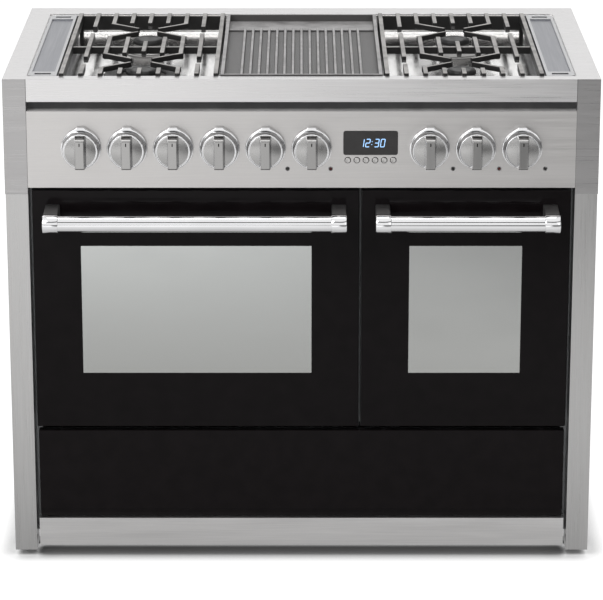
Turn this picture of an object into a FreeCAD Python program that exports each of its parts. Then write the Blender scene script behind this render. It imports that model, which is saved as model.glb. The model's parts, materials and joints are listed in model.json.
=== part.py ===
import FreeCAD, Part
import math
import os

# Range cooker with two ovens side by side, millimetres.
# x runs to the right, z up. Depths are measured back from the plane of the doors' glass,
# and the finished pieces move so that the origin is in the middle of the footprint, on the floor.

V = FreeCAD.Vector
UP = V(0, 0, 1)
FRONT = V(0, -1, 0)
BACK = V(0, 1, 0)
RIGHT = V(1, 0, 0)

# ---- cabinet ----
WIDTH = 1000.0  # over the hob's cheeks
DEPTH = 600.0  # glass to back panel
SIDE_STEP = 1.0  # the lower sides stand in from the cheeks by this much
COLUMN_W = 39.0  # front columns
SHEET = 2.0
SIDE_LIFT = 10.0  # floor to the sides' lower edge
FOOT_R = 18.0
FOOT_PAD_H = 5.0
STEM_R = 5.0
NUT_R = 9.0
NUT_H = 8.0
RAIL_W = 40.0  # base frame rails
RAIL_H = 39.0
FOLD_D = 20.0
FACE_OVER = 37.0  # face frame above the panel's lower edge
PLINTH_GAP = 5.0  # plinth's end to the column

# ---- heights, from the floor up ----
PLINTH_LIFT = 19.0
PLINTH_H = 50.0
DRAWER_LIFT = 2.0
DRAWER_H = 158.0
DRAWER_GAP = 9.0
DOOR_H = 420.0
DOOR_GAP = 5.0
PANEL_H = 132.0
SLOT_H = 16.0
STRIP_H = 39.0
CHEEK_DROP = 11.0  # the cheeks reach this far below the panel

# ---- flats on small round pieces ----
CORNER_FLATS = 2
BEND_FLATS = 2
KNOB_SIDES = 14
BURNER_SIDES = 12
SMALL_SIDES = 8
WIRE_SIDES = 8
TUBE_SIDES = 5

# ---- doors ----
GLASS_T = 4.0
DOOR_T = 40.0
PAN_EDGE = 1.5  # the pan shows beside the glass
PAN_SHEET = 1.5
DOOR_SIDE_GAP = 7.0
DOOR_SPLIT_X = 100.0  # middle of the gap between the two doors
DOOR_SPLIT_W = 6.0
WINDOW_SIDE = 80.0
WINDOW_END = 97.0
CORNER_R = 3.0
HINGE_IN = 40.0  # hinge from the pan's side
HINGE_UP = 12.0
HINGE_D = 14.0
PIN_R = 4.0
RUN_GAP = 0.05
ARM_T = 6.0
ARM_R = 7.0
ARM_FLATS = 6
ARM_FOOT = (10.0, 13.0)  # half width and half height of the bracket's foot
ARM_FOOT_T = 3.0
HINGE_GAP = 0.5
HINGE_BLOCK = 8.0  # block beside the notch
VENT_HALF = 45.0  # cooling slots in the pan's edges
VENT_DEPTHS = (16.0, 22.0)
DUCT_OVER = 6.0  # pan's window beyond the glass's window
GLASS_BEVEL = 0.8

# ---- handles ----
HANDLE_IN = 21.0
HANDLE_DROP = 43.0  # door's top edge to the bar
HANDLE_OUT = 58.0
BAR_R = 14.0
CAP_R = 16.0
CAP_W = 26.0
CAP_BEVEL = 1.0
LEG_RISE = 3.0

# ---- ovens ----
OVEN_SIDE = 55.0  # cavity's side from the door's edge
OVEN_D = 410.0
OVEN_LIFT = 47.0  # cavity floor above the doors' lower edge
OVEN_DROP = 18.0  # cavity top below the doors' upper edge
OVEN_R = 15.0
LINER_T = 1.5
LINER_LIP = 12.0
SEAL_T = 6.0
SEAL_W = 6.0
SEAL_GAP = 0.5
RUNG_R = 2.5
RACK_GAP = 6.0  # wall to the rungs' outer side
RACK_FRONT = 30.0  # uprights from the cavity's mouth and back
RACK_BACK = 70.0
RACK_LIFT = 40.0
RACK_END = 12.0  # wires beyond the last crossing
PEG_R = 2.0
PEG_IN = 8.0
RUNG_LEVELS = (70.0, 150.0, 230.0)
SHELF_LEVEL = 1
SHELF_END = 8.0  # shelf beyond the rack's uprights
SHELF_PITCH = 55.0
SHELF_WIRE_R = 1.8
ELEMENT_R = 3.5
ELEMENT_IN = 60.0
ELEMENT_FRONT = 50.0
ELEMENT_BEND = 30.0
GRILL_DROP = 20.0
FLOOR_ROD_UP = 18.0
FAN_SIDE = "left"
FAN_R = 62.0
FAN_FORE = 26.0  # hub's face before the cavity's back
FAN_DISC_T = 1.5
FAN_HUB_R = 10.0
FAN_HUB_LEN = 18.0
BLADES = 6
BLADE_D = 14.0
BLADE_IN = 32.0
SHAFT_R = 4.0
SHAFT_LEN = 60.0
MOTOR_R = 38.0
MOTOR_LEN = 44.0
MOTOR_PLATE = 12.0  # plate beyond the case
NECK_R = 14.0
NECK_LEN = 58.0

# ---- drawer ----
DRAWER_SET = 3.0  # drawer front behind the doors' glass
DRAWER_T = 18.0
LIP_H = 15.0
LIP_D = 5.0
BOX_IN = 23.0  # box's side from the column
BOX_D = 500.0
BOX_H = 75.0
BOX_LIFT = 14.0
FLANGE_W = 8.0
FLANGE_ROOM = 4.0
RUNNER_GAP = 0.3
RUNNER_IN = 2.0  # rail's web from the box
RUNNER_FOOT = 13.0  # its foot on the base frame's rail

# ---- control panel ----
KNOB_AXIS_UP = 69.0  # above the panel's lower edge
KNOB_IN = 91.0  # outermost knobs' axes from the columns
LEFT_KNOBS = 6
RIGHT_KNOBS = 3
GAS_KNOBS = 4
KNOB_GAP = 1.0
SKIRT_T = 8.0
SKIRT_PART = 0.44  # skirt's radius as a part of the knobs' pitch
NOSE_OVER = 3.0
NOSE_HALF = 8.0
BODY_IN = 1.0  # body's foot and face inside the skirt
FACE_IN = 5.0
KNOB_FACE_OUT = 28.0
GRIP_OUT = 45.0
GRIP_BASE_W = 21.0
GRIP_FACE_W = 15.0
GRIP_BEVEL = 8.0
GRIP_SEAT = 3.0
GRIP_END = 1.7
SPINDLE_R = 3.0
SPINDLE_FLAT = 1.0
SPINDLE_LEN = 26.0
SPINDLE_HOLE_R = 4.0
LAMP_R = 3.2
LAMP_BACK = 10.0
LAMP_DROP = 36.0  # below the knobs' axis
LAMP_ASIDE = (36.9, 32.0, 39.8, 39.9, 40.0)  # beside each electric knob's axis
CLOCK_W = 91.0
CLOCK_H = 41.0
CLOCK_ROOM = 53.6  # window's side to the next knob's axis
CASE_OVER = 8.0  # clock case beyond the window
CASE_RIM = 6.0
CLOCK_UP = 8.7  # window's middle above the knobs' axis
BUTTONS = 6
BUTTON_R = 5.0
BUTTON_PITCH = 15.3
BUTTON_DROP = 21.0  # below the knobs' axis
BUTTON_OUT = 2.0
BUTTON_LEN = 9.0
BUTTON_GAP = 0.3
MODULE_D = 28.0
SWITCH_W = 40.0
SWITCH_H = 36.0
SWITCH_D = 36.0

# ---- hob ----
RIM_FRONT = 25.0
RIM_BACK = 55.0
RIM_R = 4.0  # corners of the opening
SLOT_D = 20.0
BASIN_DEEP = 38.0
BASIN_T = 1.0
BASIN_R = 10.0
BASIN_SLOPE = 5.0
COOK_GAP = 2.0  # opening's front edge to the pan supports, griddle and trays
COOK_REST = 12.0  # their ends to its back edge
FRONT_BURNER_IN = 105.0
REAR_BURNER_IN = 149.0
SUPPORT_GAP = 4.15  # beside the griddle and the trays
BARS = 9
BAR_W = 7.5
BAR_H = 12.0
BAR_NOSE = 6.0
BAR_CUT = 5.0
EDGE_DROP = 4.0  # edge and middle bars reach lower
FRONT_RAIL_DROP = 14.0
BACK_RAIL_UP = 12.0
MIDDLE_FRONT = 54.0
MIDDLE_BACK = 30.0
SUPPORT_TOP = 4.0  # above the hob's rim
GRIDDLE_W = 272.0
GRIDDLE_WALL = 6.0
GRIDDLE_TOP = 2.0  # above the hob's rim
GRIDDLE_SINK = 14.0
GRIDDLE_T = 6.0
LEDGE_LONG = 87.0
LEDGE_T = 2.0
RIB_PITCH = 14.5
RIBS = 15
RIB_W = 6.0
RIB_H = 6.0
TRAY_IN = 50.0  # trays' inner edge from the basin's wall
TRAY_GAP = 2.0
TRAY_T = 2.0
TRAY_TOP_T = 5.0
TRAY_RIM = 5.0
TRAY_SINK = 3.0
TRAY_END = 32.0  # recess from the tray's ends
GRIP_IN = 10.0
GRIP_LONG = 12.0
CROWN_H = 18.0
CAP_H = 9.0
PORTS = 6
PORT_W = 2.5
PORT_H = 5.0
PORT_D = 5.0
RING_PORTS = 8
DUAL = "front_left"
END_GAPS = {0: 60.0, 1: 60.0, 2: 55.0, 3: 28.0}  # bar's end to the burner's centre
FINGER_END = 55.0
FINGER_H = 9.0
TIP_X = 17.5
TIP_D = 14.0
TIP_W = 5.0
FOOT_W = 10.0
FOOT_IN = 6.0  # feet behind the front edge
TRAY_LIFT = 8.0
TRAY_CUT = 6.0
ROD_SIDE = 40.0  # griddle's rod from its side and ends
ROD_IN = 60.0
ROD_UP = 11.0
ROD_LEG = 20.0
COLLAR_T = 2.0
PIN_UP = 14.0  # spark pin
PIN_ASIDE = 7.0
SPARK_R = 2.0

# ---- back ----
VENTS = 5
VENT_PITCH = 70.0
VENT_W = 8.0
VENT_LONG = 60.0
VENT_UP = 15.0  # above the ovens' floor
VENT_DOWN = 20.0  # below their top
FIXING_IN = 47.0
FIXING_Z = 600.0
FIXING_R = 2.6
TERMINAL_IN = 117.0
TERMINAL_Z = 150.0
TERMINAL_W = 120.0
TERMINAL_H = 70.0
TERMINAL_D = 40.0
TERMINAL_COVER = 3.0
TERMINAL_LIP = 10.0
ENTRY_R = 10.0

# ---- gas ----
INLET_IN = 72.0
INLET_R = 10.48
NUT_SIDE_R = 16.0
NUT_LEN = 15.0
INLET_LEN = 40.0
INLET_HOLE_R = 25.0
MANIFOLD_R = 9.0
MANIFOLD_BACK = 4.0  # axis behind the face frame's front
MANIFOLD_BEND = 25.0
MANIFOLD_END = 25.0
PROP_W = 16.0
PROP_T = 8.0
PROP_IN = 12.0
TAP_R = 13.0
TAP_D = 4.0
FEED_R = 4.0
FEED_FORE = 12.0  # before the manifold's axis
FEED_BEND = 8.0
FEED_LOW = 24.0  # runs above the knobs' axis
FEED_HIGH = 36.0
FEED_OFF = 11.0  # beside the burners' centres

# ---- levels and places that follow ----
HALF = WIDTH / 2
SIDE_X = HALF - SIDE_STEP
SKIN_X = SIDE_X - SHEET
INNER_X = HALF - COLUMN_W
PLINTH_Z = PLINTH_LIFT + PLINTH_H
DRAWER_Z0 = PLINTH_Z + DRAWER_LIFT
DRAWER_Z1 = DRAWER_Z0 + DRAWER_H
DOOR_Z0 = DRAWER_Z1 + DRAWER_GAP
DOOR_Z1 = DOOR_Z0 + DOOR_H
PANEL_Z0 = DOOR_Z1 + DOOR_GAP
PANEL_Z1 = PANEL_Z0 + PANEL_H
STRIP_Z = PANEL_Z1 + SLOT_H
HOB_TOP = STRIP_Z + STRIP_H
CHEEK_Z = PANEL_Z0 - CHEEK_DROP
FLOOR_Z = HOB_TOP - BASIN_DEEP
KNOB_Z = PANEL_Z0 + KNOB_AXIS_UP
FACE_D = DOOR_T + SEAL_GAP + SEAL_T + LINER_T
OVEN_Z0 = DOOR_Z0 + OVEN_LIFT
OVEN_Z1 = DOOR_Z1 - OVEN_DROP
OVEN_BACK = FACE_D + OVEN_D
FACE_TOP = PANEL_Z0 + FACE_OVER
ORIGIN_SHIFT = (HANDLE_OUT + CAP_R - DEPTH) / 2
HINGE_Z = DOOR_Z0 + HINGE_UP
PAN_BACK = DOOR_T - GLASS_T
WIRE_HALF = RUNG_R * math.cos(math.pi / WIRE_SIDES)  # a wire's axis to its flats
BAR_HALF = RUNG_R * math.cos(math.pi / 4)  # the same of the racks' square uprights
BOX_X = INNER_X - BOX_IN
COOK_FRONT = RIM_FRONT + COOK_GAP
COOK_BACK = DEPTH - RIM_BACK - COOK_REST
FRONT_BURNER_D = COOK_FRONT + FRONT_BURNER_IN
REAR_BURNER_D = COOK_BACK - REAR_BURNER_IN
SUPPORT_X0 = GRIDDLE_W / 2 + SUPPORT_GAP
SUPPORT_X1 = INNER_X - TRAY_IN - SUPPORT_GAP
SUPPORT_X = (SUPPORT_X0 + SUPPORT_X1) / 2
BAR_PITCH = (SUPPORT_X1 - SUPPORT_X0 - BAR_W) / (BARS - 1)
ROD_X = GRIDDLE_W / 2 - ROD_SIDE
MANIFOLD_D = FACE_D + MANIFOLD_BACK
FEED_D = MANIFOLD_D - FEED_FORE
INLET_X = SKIN_X - INLET_IN
FIXING_X = SKIN_X - FIXING_IN
TERMINAL_X = TERMINAL_IN - SKIN_X

DOORS = {
    "left": (-INNER_X + DOOR_SIDE_GAP, DOOR_SPLIT_X - DOOR_SPLIT_W / 2),
    "right": (DOOR_SPLIT_X + DOOR_SPLIT_W / 2, INNER_X - DOOR_SIDE_GAP),
}
CLOCK_SPAN = CLOCK_W / 2 + CLOCK_ROOM
KNOB_PITCH = 2 * (INNER_X - KNOB_IN - CLOCK_SPAN) / (LEFT_KNOBS + RIGHT_KNOBS - 2)
CLOCK_X = KNOB_IN - INNER_X + (LEFT_KNOBS - 1) * KNOB_PITCH + CLOCK_SPAN
KNOB_XS = [CLOCK_X - CLOCK_SPAN - n * KNOB_PITCH for n in reversed(range(LEFT_KNOBS))]
KNOB_XS += [CLOCK_X + CLOCK_SPAN + n * KNOB_PITCH for n in range(RIGHT_KNOBS)]
SKIRT_R = SKIRT_PART * KNOB_PITCH
LAMP_XS = [x + aside for x, aside in zip(KNOB_XS[GAS_KNOBS:], LAMP_ASIDE)]
BUTTON_XS = [CLOCK_X + (n - (BUTTONS - 1) / 2) * BUTTON_PITCH for n in range(BUTTONS)]

# name, side, depth, crown radius at its base, cap radius
BURNERS = (
    ("front_left", -1, FRONT_BURNER_D, 26.0, 27.0),
    ("rear_left", -1, REAR_BURNER_D, 38.0, 29.0),
    ("front_right", 1, FRONT_BURNER_D, 36.0, 26.0),
    ("rear_right", 1, REAR_BURNER_D, 53.0, 28.0),
)
RING_OUT = 65.0  # outer flame ring of the dual burner
RING_IN = 42.0
RING_DROP = 4.0  # ring's crown below the centre's
RING_H = 6.0
POT_R = 22.0
POT_DROP = 34.0


def export(name, *shapes):
    """Writes one node, moved from the drawing's depths to the finished frame."""
    whole = Part.makeCompound([s for shape in shapes for s in shape.Solids])
    whole.translate(V(0, ORIGIN_SHIFT, 0))
    whole.exportStep(f"parts/{name}.step")


def block(x0, x1, d0, d1, z0, z1):
    return Part.makeBox(x1 - x0, d1 - d0, z1 - z0, V(x0, d0, z0))


def post(radius, length, x, d, z, axis):
    return Part.makeCylinder(radius, length, V(x, d, z), axis)


def fuse(shapes):
    shapes = list(shapes)
    return shapes[0].multiFuse(shapes[1:]).removeSplitter()


def both_sides(shape):
    """The shape and its mirror image across the middle of the cooker."""
    return [shape, shape.mirror(V(0, 0, 0), RIGHT)]


def face_of(points):
    return Part.Face(Part.makePolygon([V(*p) for p in [*points, points[0]]]))


def across(points, x0, x1):
    """A (depth, height) outline run from x0 to x1."""
    return face_of([(x0, d, z) for d, z in points]).extrude(V(x1 - x0, 0, 0))


def upright(points, z0, z1):
    """An (x, depth) outline run from z0 up to z1."""
    return face_of([(x, d, z0) for x, d in points]).extrude(V(0, 0, z1 - z0))


def ring_points(radius, height, sides):
    """Corners of a regular polygon about the z axis, the first one half a side off the x axis."""
    angles = [2 * math.pi * (n + 0.5) / sides for n in range(sides)]
    return [V(radius * math.cos(a), radius * math.sin(a), height) for a in angles]


def turned(profile, x, d, z, axis, sides):
    """A closed (radius, height) outline turned about an axis that starts at x, d, z, with flats."""
    rings = [ring_points(r, h, sides) if r else [V(0, 0, h)] * sides for r, h in profile]
    on_axis = [r == 0 for r, _ in profile]
    faces = []
    for n, (low, high) in enumerate(zip(rings, rings[1:] + rings[:1])):
        ends = on_axis[n], on_axis[(n + 1) % len(rings)]
        if all(ends):
            continue
        if any(ends):
            ring = high if ends[0] else low
            faces.append(Part.Face(Part.makePolygon([*ring, ring[0]])))
            continue
        for m in range(sides):
            k = (m + 1) % sides
            faces.append(Part.Face(Part.makePolygon([low[m], low[k], high[k], high[m], low[m]])))
    solid = Part.makeSolid(Part.makeShell(faces))
    if solid.Volume < 0:
        solid.reverse()
    solid = solid.removeSplitter()
    solid.Placement = FreeCAD.Placement(V(x, d, z), FreeCAD.Rotation(UP, axis))
    return solid


def faceted_post(radius, length, x, d, z, axis, sides):
    """A rod whose corners lie on the radius."""
    return turned([(0, 0), (radius, 0), (radius, length), (0, length)], x, d, z, axis, sides)


def faceted_hole(radius, length, x, d, z, axis, sides):
    """A hole whose flats lie on the radius, so that a round rod still turns in it."""
    return faceted_post(radius / math.cos(math.pi / sides), length, x, d, z, axis, sides)


def corner_outline(a0, a1, b0, b1, radius):
    """A rectangle with each corner turned in short flats."""
    outline = []
    for ca, cb, start in (
        (a1 - radius, b1 - radius, 0),
        (a0 + radius, b1 - radius, 90),
        (a0 + radius, b0 + radius, 180),
        (a1 - radius, b0 + radius, 270),
    ):
        for step in range(CORNER_FLATS + 1):
            angle = math.radians(start + 90 * step / CORNER_FLATS)
            outline.append((ca + radius * math.cos(angle), cb + radius * math.sin(angle)))
    return outline


def rounded_panel(x0, x1, z0, z1, d0, d1, radius):
    """An upright panel with its four corners rounded, from depth d0 to d1."""
    outline = corner_outline(x0, x1, z0, z1, radius)
    return face_of([(x, d0, z) for x, z in outline]).extrude(V(0, d1 - d0, 0))


def rounded_tray(x0, x1, d0, d1, z0, z1, radius, slope):
    """A block with rounded upright corners and a sloped lower edge."""
    tray = upright(corner_outline(x0, x1, d0, d1, radius), z0, z1)
    lower = [e for e in tray.Edges if e.BoundBox.ZMax < z0 + 0.01]
    return tray.makeChamfer(slope, lower)


def wire_rod(start, end, radius, sides=WIRE_SIDES):
    """A straight wire, drawn with flats."""
    start, end = V(*start), V(*end)
    turn = FreeCAD.Rotation(UP, end - start)
    ring = [start + turn.multVec(c) for c in ring_points(radius, 0, sides)]
    return Part.Face(Part.makePolygon([*ring, ring[0]])).extrude(end - start)


def bent_tube(points, radius, bend, sides=TUBE_SIDES):
    """A tube along straight runs, each right angle turned in flats of one bend radius."""
    points = [V(*p) for p in points]
    path = [points[0]]
    for before, corner, after in zip(points, points[1:], points[2:]):
        into = (corner - before).normalize()
        out = (after - corner).normalize()
        centre = corner - into * bend + out * bend
        for step in range(BEND_FLATS + 1):
            angle = math.pi / 2 * step / BEND_FLATS
            path.append(centre - out * bend * math.cos(angle) + into * bend * math.sin(angle))
    path.append(points[-1])
    turn = FreeCAD.Rotation(UP, points[1] - points[0])
    ring = [points[0] + turn.multVec(c) for c in ring_points(radius, 0, sides)]
    outline = Part.makePolygon([*ring, ring[0]])
    return Part.makePolygon(path).makePipeShell([outline], True, False, 1)


# ---------------------------------------------------------------- cabinet

def side_panel(side):
    """Outer skin, front column and its return to the face frame, folded from one sheet."""
    outline = [
        (INNER_X, 0),
        (SIDE_X, 0),
        (SIDE_X, DEPTH),
        (SKIN_X, DEPTH),
        (SKIN_X, SHEET),
        (INNER_X + SHEET, SHEET),
        (INNER_X + SHEET, FACE_D),
        (INNER_X, FACE_D),
    ]
    return upright([(side * x, d) for x, d in outline], SIDE_LIFT, CHEEK_Z)


def base_frame():
    """A ring of rails, open below, that the feet and the sides fasten to."""
    z0 = PLINTH_Z - RAIL_H
    ring = block(-SKIN_X, SKIN_X, FACE_D, DEPTH - SHEET, z0, PLINTH_Z)
    middle = block(
        RAIL_W - SKIN_X, SKIN_X - RAIL_W, FACE_D + RAIL_W, DEPTH - SHEET - RAIL_W, z0, PLINTH_Z
    )
    hollow = block(
        SHEET - SKIN_X, SKIN_X - SHEET, FACE_D + SHEET, DEPTH - 2 * SHEET, z0, PLINTH_Z - SHEET
    )
    core = block(
        RAIL_W - SHEET - SKIN_X,
        SKIN_X - RAIL_W + SHEET,
        FACE_D + RAIL_W - SHEET,
        DEPTH - RAIL_W,
        z0,
        PLINTH_Z - SHEET,
    )
    return ring.cut(middle).cut(hollow.cut(core))


def levelling_feet():
    """Pad, cone, threaded stem and the nut under the rail."""
    top = PLINTH_Z - SHEET
    profile = [
        (0, 0),
        (FOOT_R, 0),
        (FOOT_R, FOOT_PAD_H),
        (STEM_R, 2 * FOOT_PAD_H),
        (STEM_R, top - NUT_H),
        (NUT_R, top - NUT_H),
        (NUT_R, top),
        (0, top),
    ]
    x = SKIN_X - RAIL_W / 2
    depths = (FACE_D + RAIL_W / 2, DEPTH - SHEET - RAIL_W / 2)
    return [turned(profile, s * x, d, 0, UP, SMALL_SIDES) for s in (-1, 1) for d in depths]


def plinth():
    """Folded strip with an upper and a lower return to the base frame."""
    t = PAN_SHEET
    outline = [
        (0, PLINTH_LIFT),
        (FACE_D, PLINTH_LIFT),
        (FACE_D, PLINTH_LIFT + t),
        (t, PLINTH_LIFT + t),
        (t, PLINTH_Z - t),
        (FACE_D, PLINTH_Z - t),
        (FACE_D, PLINTH_Z),
        (0, PLINTH_Z),
    ]
    half = INNER_X - PLINTH_GAP
    return across(outline, -half, half)


def back_panel():
    """Flat sheet with cooling slots, the gas and mains openings and two wall fixing holes."""
    z0 = PLINTH_Z - RAIL_H
    panel = block(-SKIN_X, SKIN_X, DEPTH - SHEET, DEPTH, z0, STRIP_Z)
    tools = []
    for n in range(VENTS):
        x = (n - (VENTS - 1) / 2) * VENT_PITCH
        for z in (OVEN_Z0 + VENT_UP, OVEN_Z1 - VENT_DOWN - VENT_LONG):
            tools.append(block(x - VENT_W / 2, x + VENT_W / 2, DEPTH - SHEET, DEPTH, z, z + VENT_LONG))
    inlet = faceted_hole(INLET_HOLE_R, SHEET, INLET_X, DEPTH - SHEET, KNOB_Z, BACK, BURNER_SIDES)
    tools.append(inlet)
    tools.append(terminal_block(0, DEPTH - SHEET, DEPTH))
    for x in (-FIXING_X, FIXING_X):
        tools.append(post(FIXING_R, SHEET, x, DEPTH - SHEET, FIXING_Z, BACK))
    return panel.cut(Part.makeCompound(tools))


def terminal_block(grow, d0, d1):
    x, z = TERMINAL_X, TERMINAL_Z
    w, h = TERMINAL_W / 2 + grow, TERMINAL_H / 2 + grow
    return block(x - w, x + w, d0, d1, z - h, z + h)


def terminal_box():
    """Mains terminal housing, flush in the back panel, with the cable entry in its cover."""
    body = terminal_block(0, DEPTH - TERMINAL_D, DEPTH)
    lip = terminal_block(TERMINAL_LIP, DEPTH - 2 * SHEET, DEPTH - SHEET)
    room = terminal_block(-SHEET, DEPTH - TERMINAL_D + SHEET, DEPTH - TERMINAL_COVER)
    entry = post(ENTRY_R, TERMINAL_COVER, TERMINAL_X, DEPTH - TERMINAL_COVER, TERMINAL_Z, BACK)
    return body.fuse(lip).cut(room).cut(entry)


def oven_face_frame():
    """Pierced front of the chassis: two oven openings and the drawer's, with top and bottom folds."""
    plate = block(-SKIN_X, SKIN_X, FACE_D, FACE_D + SHEET, PLINTH_Z, FACE_TOP)
    folds = [
        block(-SKIN_X, SKIN_X, FACE_D, FACE_D + FOLD_D, z, z + SHEET)
        for z in (PLINTH_Z, FACE_TOP - SHEET)
    ]
    openings = [
        rounded_panel(
            x0 - LINER_T, x1 + LINER_T, OVEN_Z0 - LINER_T, OVEN_Z1 + LINER_T,
            FACE_D, FACE_D + SHEET, OVEN_R + LINER_T,
        )
        for x0, x1 in map(oven_span, DOORS)
    ]
    reach = BOX_X + FLANGE_W + FLANGE_ROOM
    openings.append(
        block(-reach, reach, FACE_D, FACE_D + SHEET, PLINTH_Z + 2 * SHEET, DRAWER_Z1)
    )
    return fuse([plate, *folds]).cut(Part.makeCompound(openings))


# ---------------------------------------------------------------- ovens

def oven_span(side):
    """Left and right faces of an oven's cavity, behind its door."""
    x0, x1 = DOORS[side]
    return x0 + OVEN_SIDE, x1 - OVEN_SIDE


def oven_liner(side):
    """Drawn box with rounded corners and a lip on the face frame."""
    x0, x1 = oven_span(side)
    t = LINER_T
    tub = rounded_panel(
        x0 - t, x1 + t, OVEN_Z0 - t, OVEN_Z1 + t, FACE_D, OVEN_BACK + t, OVEN_R + t
    )
    lip = rounded_panel(
        x0 - LINER_LIP, x1 + LINER_LIP, OVEN_Z0 - LINER_LIP, OVEN_Z1 + LINER_LIP,
        FACE_D - t, FACE_D, OVEN_R + LINER_LIP,
    )
    cavity = rounded_panel(x0, x1, OVEN_Z0, OVEN_Z1, FACE_D - t, OVEN_BACK, OVEN_R)
    liner = tub.fuse(lip).cut(cavity).removeSplitter()
    if side == FAN_SIDE:
        x, z = fan_centre()
        liner = liner.cut(faceted_hole(2 * SHAFT_R, t, x, OVEN_BACK, z, BACK, SMALL_SIDES))
    return liner


def fan_centre():
    x0, x1 = oven_span(FAN_SIDE)
    return (x0 + x1) / 2, (OVEN_Z0 + OVEN_Z1) / 2


def door_seal(side):
    """Rubber ring on the liner's lip, just short of the closed door."""
    x0, x1 = oven_span(side)
    inner = LINER_T * 2
    outer = inner + SEAL_W
    rings = [
        rounded_panel(
            x0 - grow, x1 + grow, OVEN_Z0 - grow, OVEN_Z1 + grow,
            FACE_D - LINER_T - SEAL_T, FACE_D - LINER_T, OVEN_R + grow,
        )
        for grow in (outer, inner)
    ]
    return rings[0].cut(rings[1])


def rack_x(side, wall):
    """Middle of the rungs on one wall; wall is -1 on the left and 1 on the right."""
    x0, x1 = oven_span(side)
    return (x1 if wall > 0 else x0) - wall * (RACK_GAP + 2 * RUNG_R)


def side_rack(side, wall):
    """Ladder on one wall of an oven: two square uprights on pegs, round rungs on their inner side."""
    rung_x = rack_x(side, wall)
    upright_x = rung_x + wall * (WIRE_HALF + BAR_HALF)
    face = rung_x + wall * (RACK_GAP + 2 * RUNG_R)
    front, back = FACE_D + RACK_FRONT, OVEN_BACK - RACK_BACK
    low, high = OVEN_Z0 + RACK_LIFT, OVEN_Z0 + RUNG_LEVELS[-1] + 2 * RACK_END
    wires = []
    for d in (front, back):
        wires.append(wire_rod((upright_x, d, low), (upright_x, d, high), RUNG_R, 4))
        for z in (low + PEG_IN, high - PEG_IN):
            wires.append(wire_rod((face, d, z), (upright_x, d, z), PEG_R, 4))
    for level in RUNG_LEVELS:
        z = OVEN_Z0 + level
        wires.append(wire_rod((rung_x, front - RACK_END, z), (rung_x, back + RACK_END, z), RUNG_R))
    return fuse(wires)


def oven_shelf(side):
    """Wire shelf that rests on one pair of rungs."""
    z = OVEN_Z0 + RUNG_LEVELS[SHELF_LEVEL] + 2 * WIRE_HALF
    left, right = rack_x(side, -1), rack_x(side, 1)
    front, back = FACE_D + RACK_FRONT - SHELF_END, OVEN_BACK - RACK_BACK + SHELF_END
    ends = (front + 2 * RUNG_R, back - 2 * RUNG_R)
    wires = [wire_rod((x, front, z), (x, back, z), RUNG_R) for x in (left, right)]
    wires += [wire_rod((left, d, z), (right, d, z), RUNG_R) for d in ends]
    count = round((right - left) / SHELF_PITCH)
    for n in range(1, count):
        x = left + n * (right - left) / count
        wires.append(wire_rod((x, ends[0], z), (x, ends[1], z), SHELF_WIRE_R, 4))
    return fuse(wires)


def oven_element(side, z):
    """Heating rod: a long loop from the cavity's back wall."""
    x0, x1 = oven_span(side)
    left, right, front = x0 + ELEMENT_IN, x1 - ELEMENT_IN, FACE_D + ELEMENT_FRONT
    points = [(left, OVEN_BACK, z), (left, front, z), (right, front, z), (right, OVEN_BACK, z)]
    return bent_tube(points, ELEMENT_R, ELEMENT_BEND)


def griddle_element():
    """Heating rod under the griddle, with two collars on the basin's floor."""
    half = ROD_X
    z = FLOOR_Z + ROD_UP
    back, front = COOK_BACK - ROD_IN, COOK_FRONT + ROD_IN
    points = [
        (-half, back, FLOOR_Z - ROD_LEG),
        (-half, back, z),
        (-half, front, z),
        (half, front, z),
        (half, back, z),
        (half, back, FLOOR_Z - ROD_LEG),
    ]
    rod = bent_tube(points, ELEMENT_R, 2 * ELEMENT_R)
    collars = [
        faceted_post(2.5 * ELEMENT_R, COLLAR_T, x, back, FLOOR_Z, UP, SMALL_SIDES)
        for x in (-half, half)
    ]
    return fuse([rod, *collars])


def heating_elements():
    """Grill rods near both cavities' tops, floor rods in both, and the griddle's rod."""
    rods = [griddle_element()]
    for side in DOORS:
        rods.append(oven_element(side, OVEN_Z1 - GRILL_DROP))
        rods.append(oven_element(side, OVEN_Z0 + FLOOR_ROD_UP))
    return rods


def fan_motor():
    """Motor on a square plate behind the fan oven."""
    x, z = fan_centre()
    d = OVEN_BACK + LINER_T
    half = MOTOR_R + MOTOR_PLATE
    plate = block(x - half, x + half, d, d + SHEET, z - half, z + half)
    case = faceted_post(MOTOR_R, MOTOR_LEN, x, d, z, BACK, BURNER_SIDES)
    neck = faceted_post(NECK_R, NECK_LEN, x, d, z, BACK, SMALL_SIDES)
    bore = faceted_hole(SHAFT_R + RUN_GAP, MOTOR_LEN, x, d, z, BACK, SMALL_SIDES)
    return fuse([plate, case, neck]).cut(bore)


def oven_fan():
    """Bladed wheel on its shaft."""
    x, z = fan_centre()
    d = OVEN_BACK - FAN_FORE
    back = d + FAN_HUB_LEN
    half = FAN_DISC_T / 2
    disc = faceted_post(FAN_R, FAN_DISC_T, x, back - FAN_DISC_T, z, BACK, BURNER_SIDES)
    hub = faceted_post(FAN_HUB_R, FAN_HUB_LEN, x, d, z, BACK, SMALL_SIDES)
    shaft = post(SHAFT_R, SHAFT_LEN, x, d, z, BACK)
    front = back - FAN_DISC_T - BLADE_D
    outer = z + FAN_R - 2 * FAN_DISC_T
    blade = block(x - half, x + half, front, back - half, z + BLADE_IN, outer)
    blades = []
    for n in range(BLADES):
        turned_blade = blade.copy()
        turned_blade.rotate(V(x, d, z), BACK, 360 * n / BLADES)
        blades.append(turned_blade)
    return fuse([disc, hub, shaft, *blades])


# ---------------------------------------------------------------- doors

def hinge_xs(side):
    x0, x1 = DOORS[side]
    return x0 - PAN_EDGE + HINGE_IN, x1 + PAN_EDGE - HINGE_IN


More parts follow.
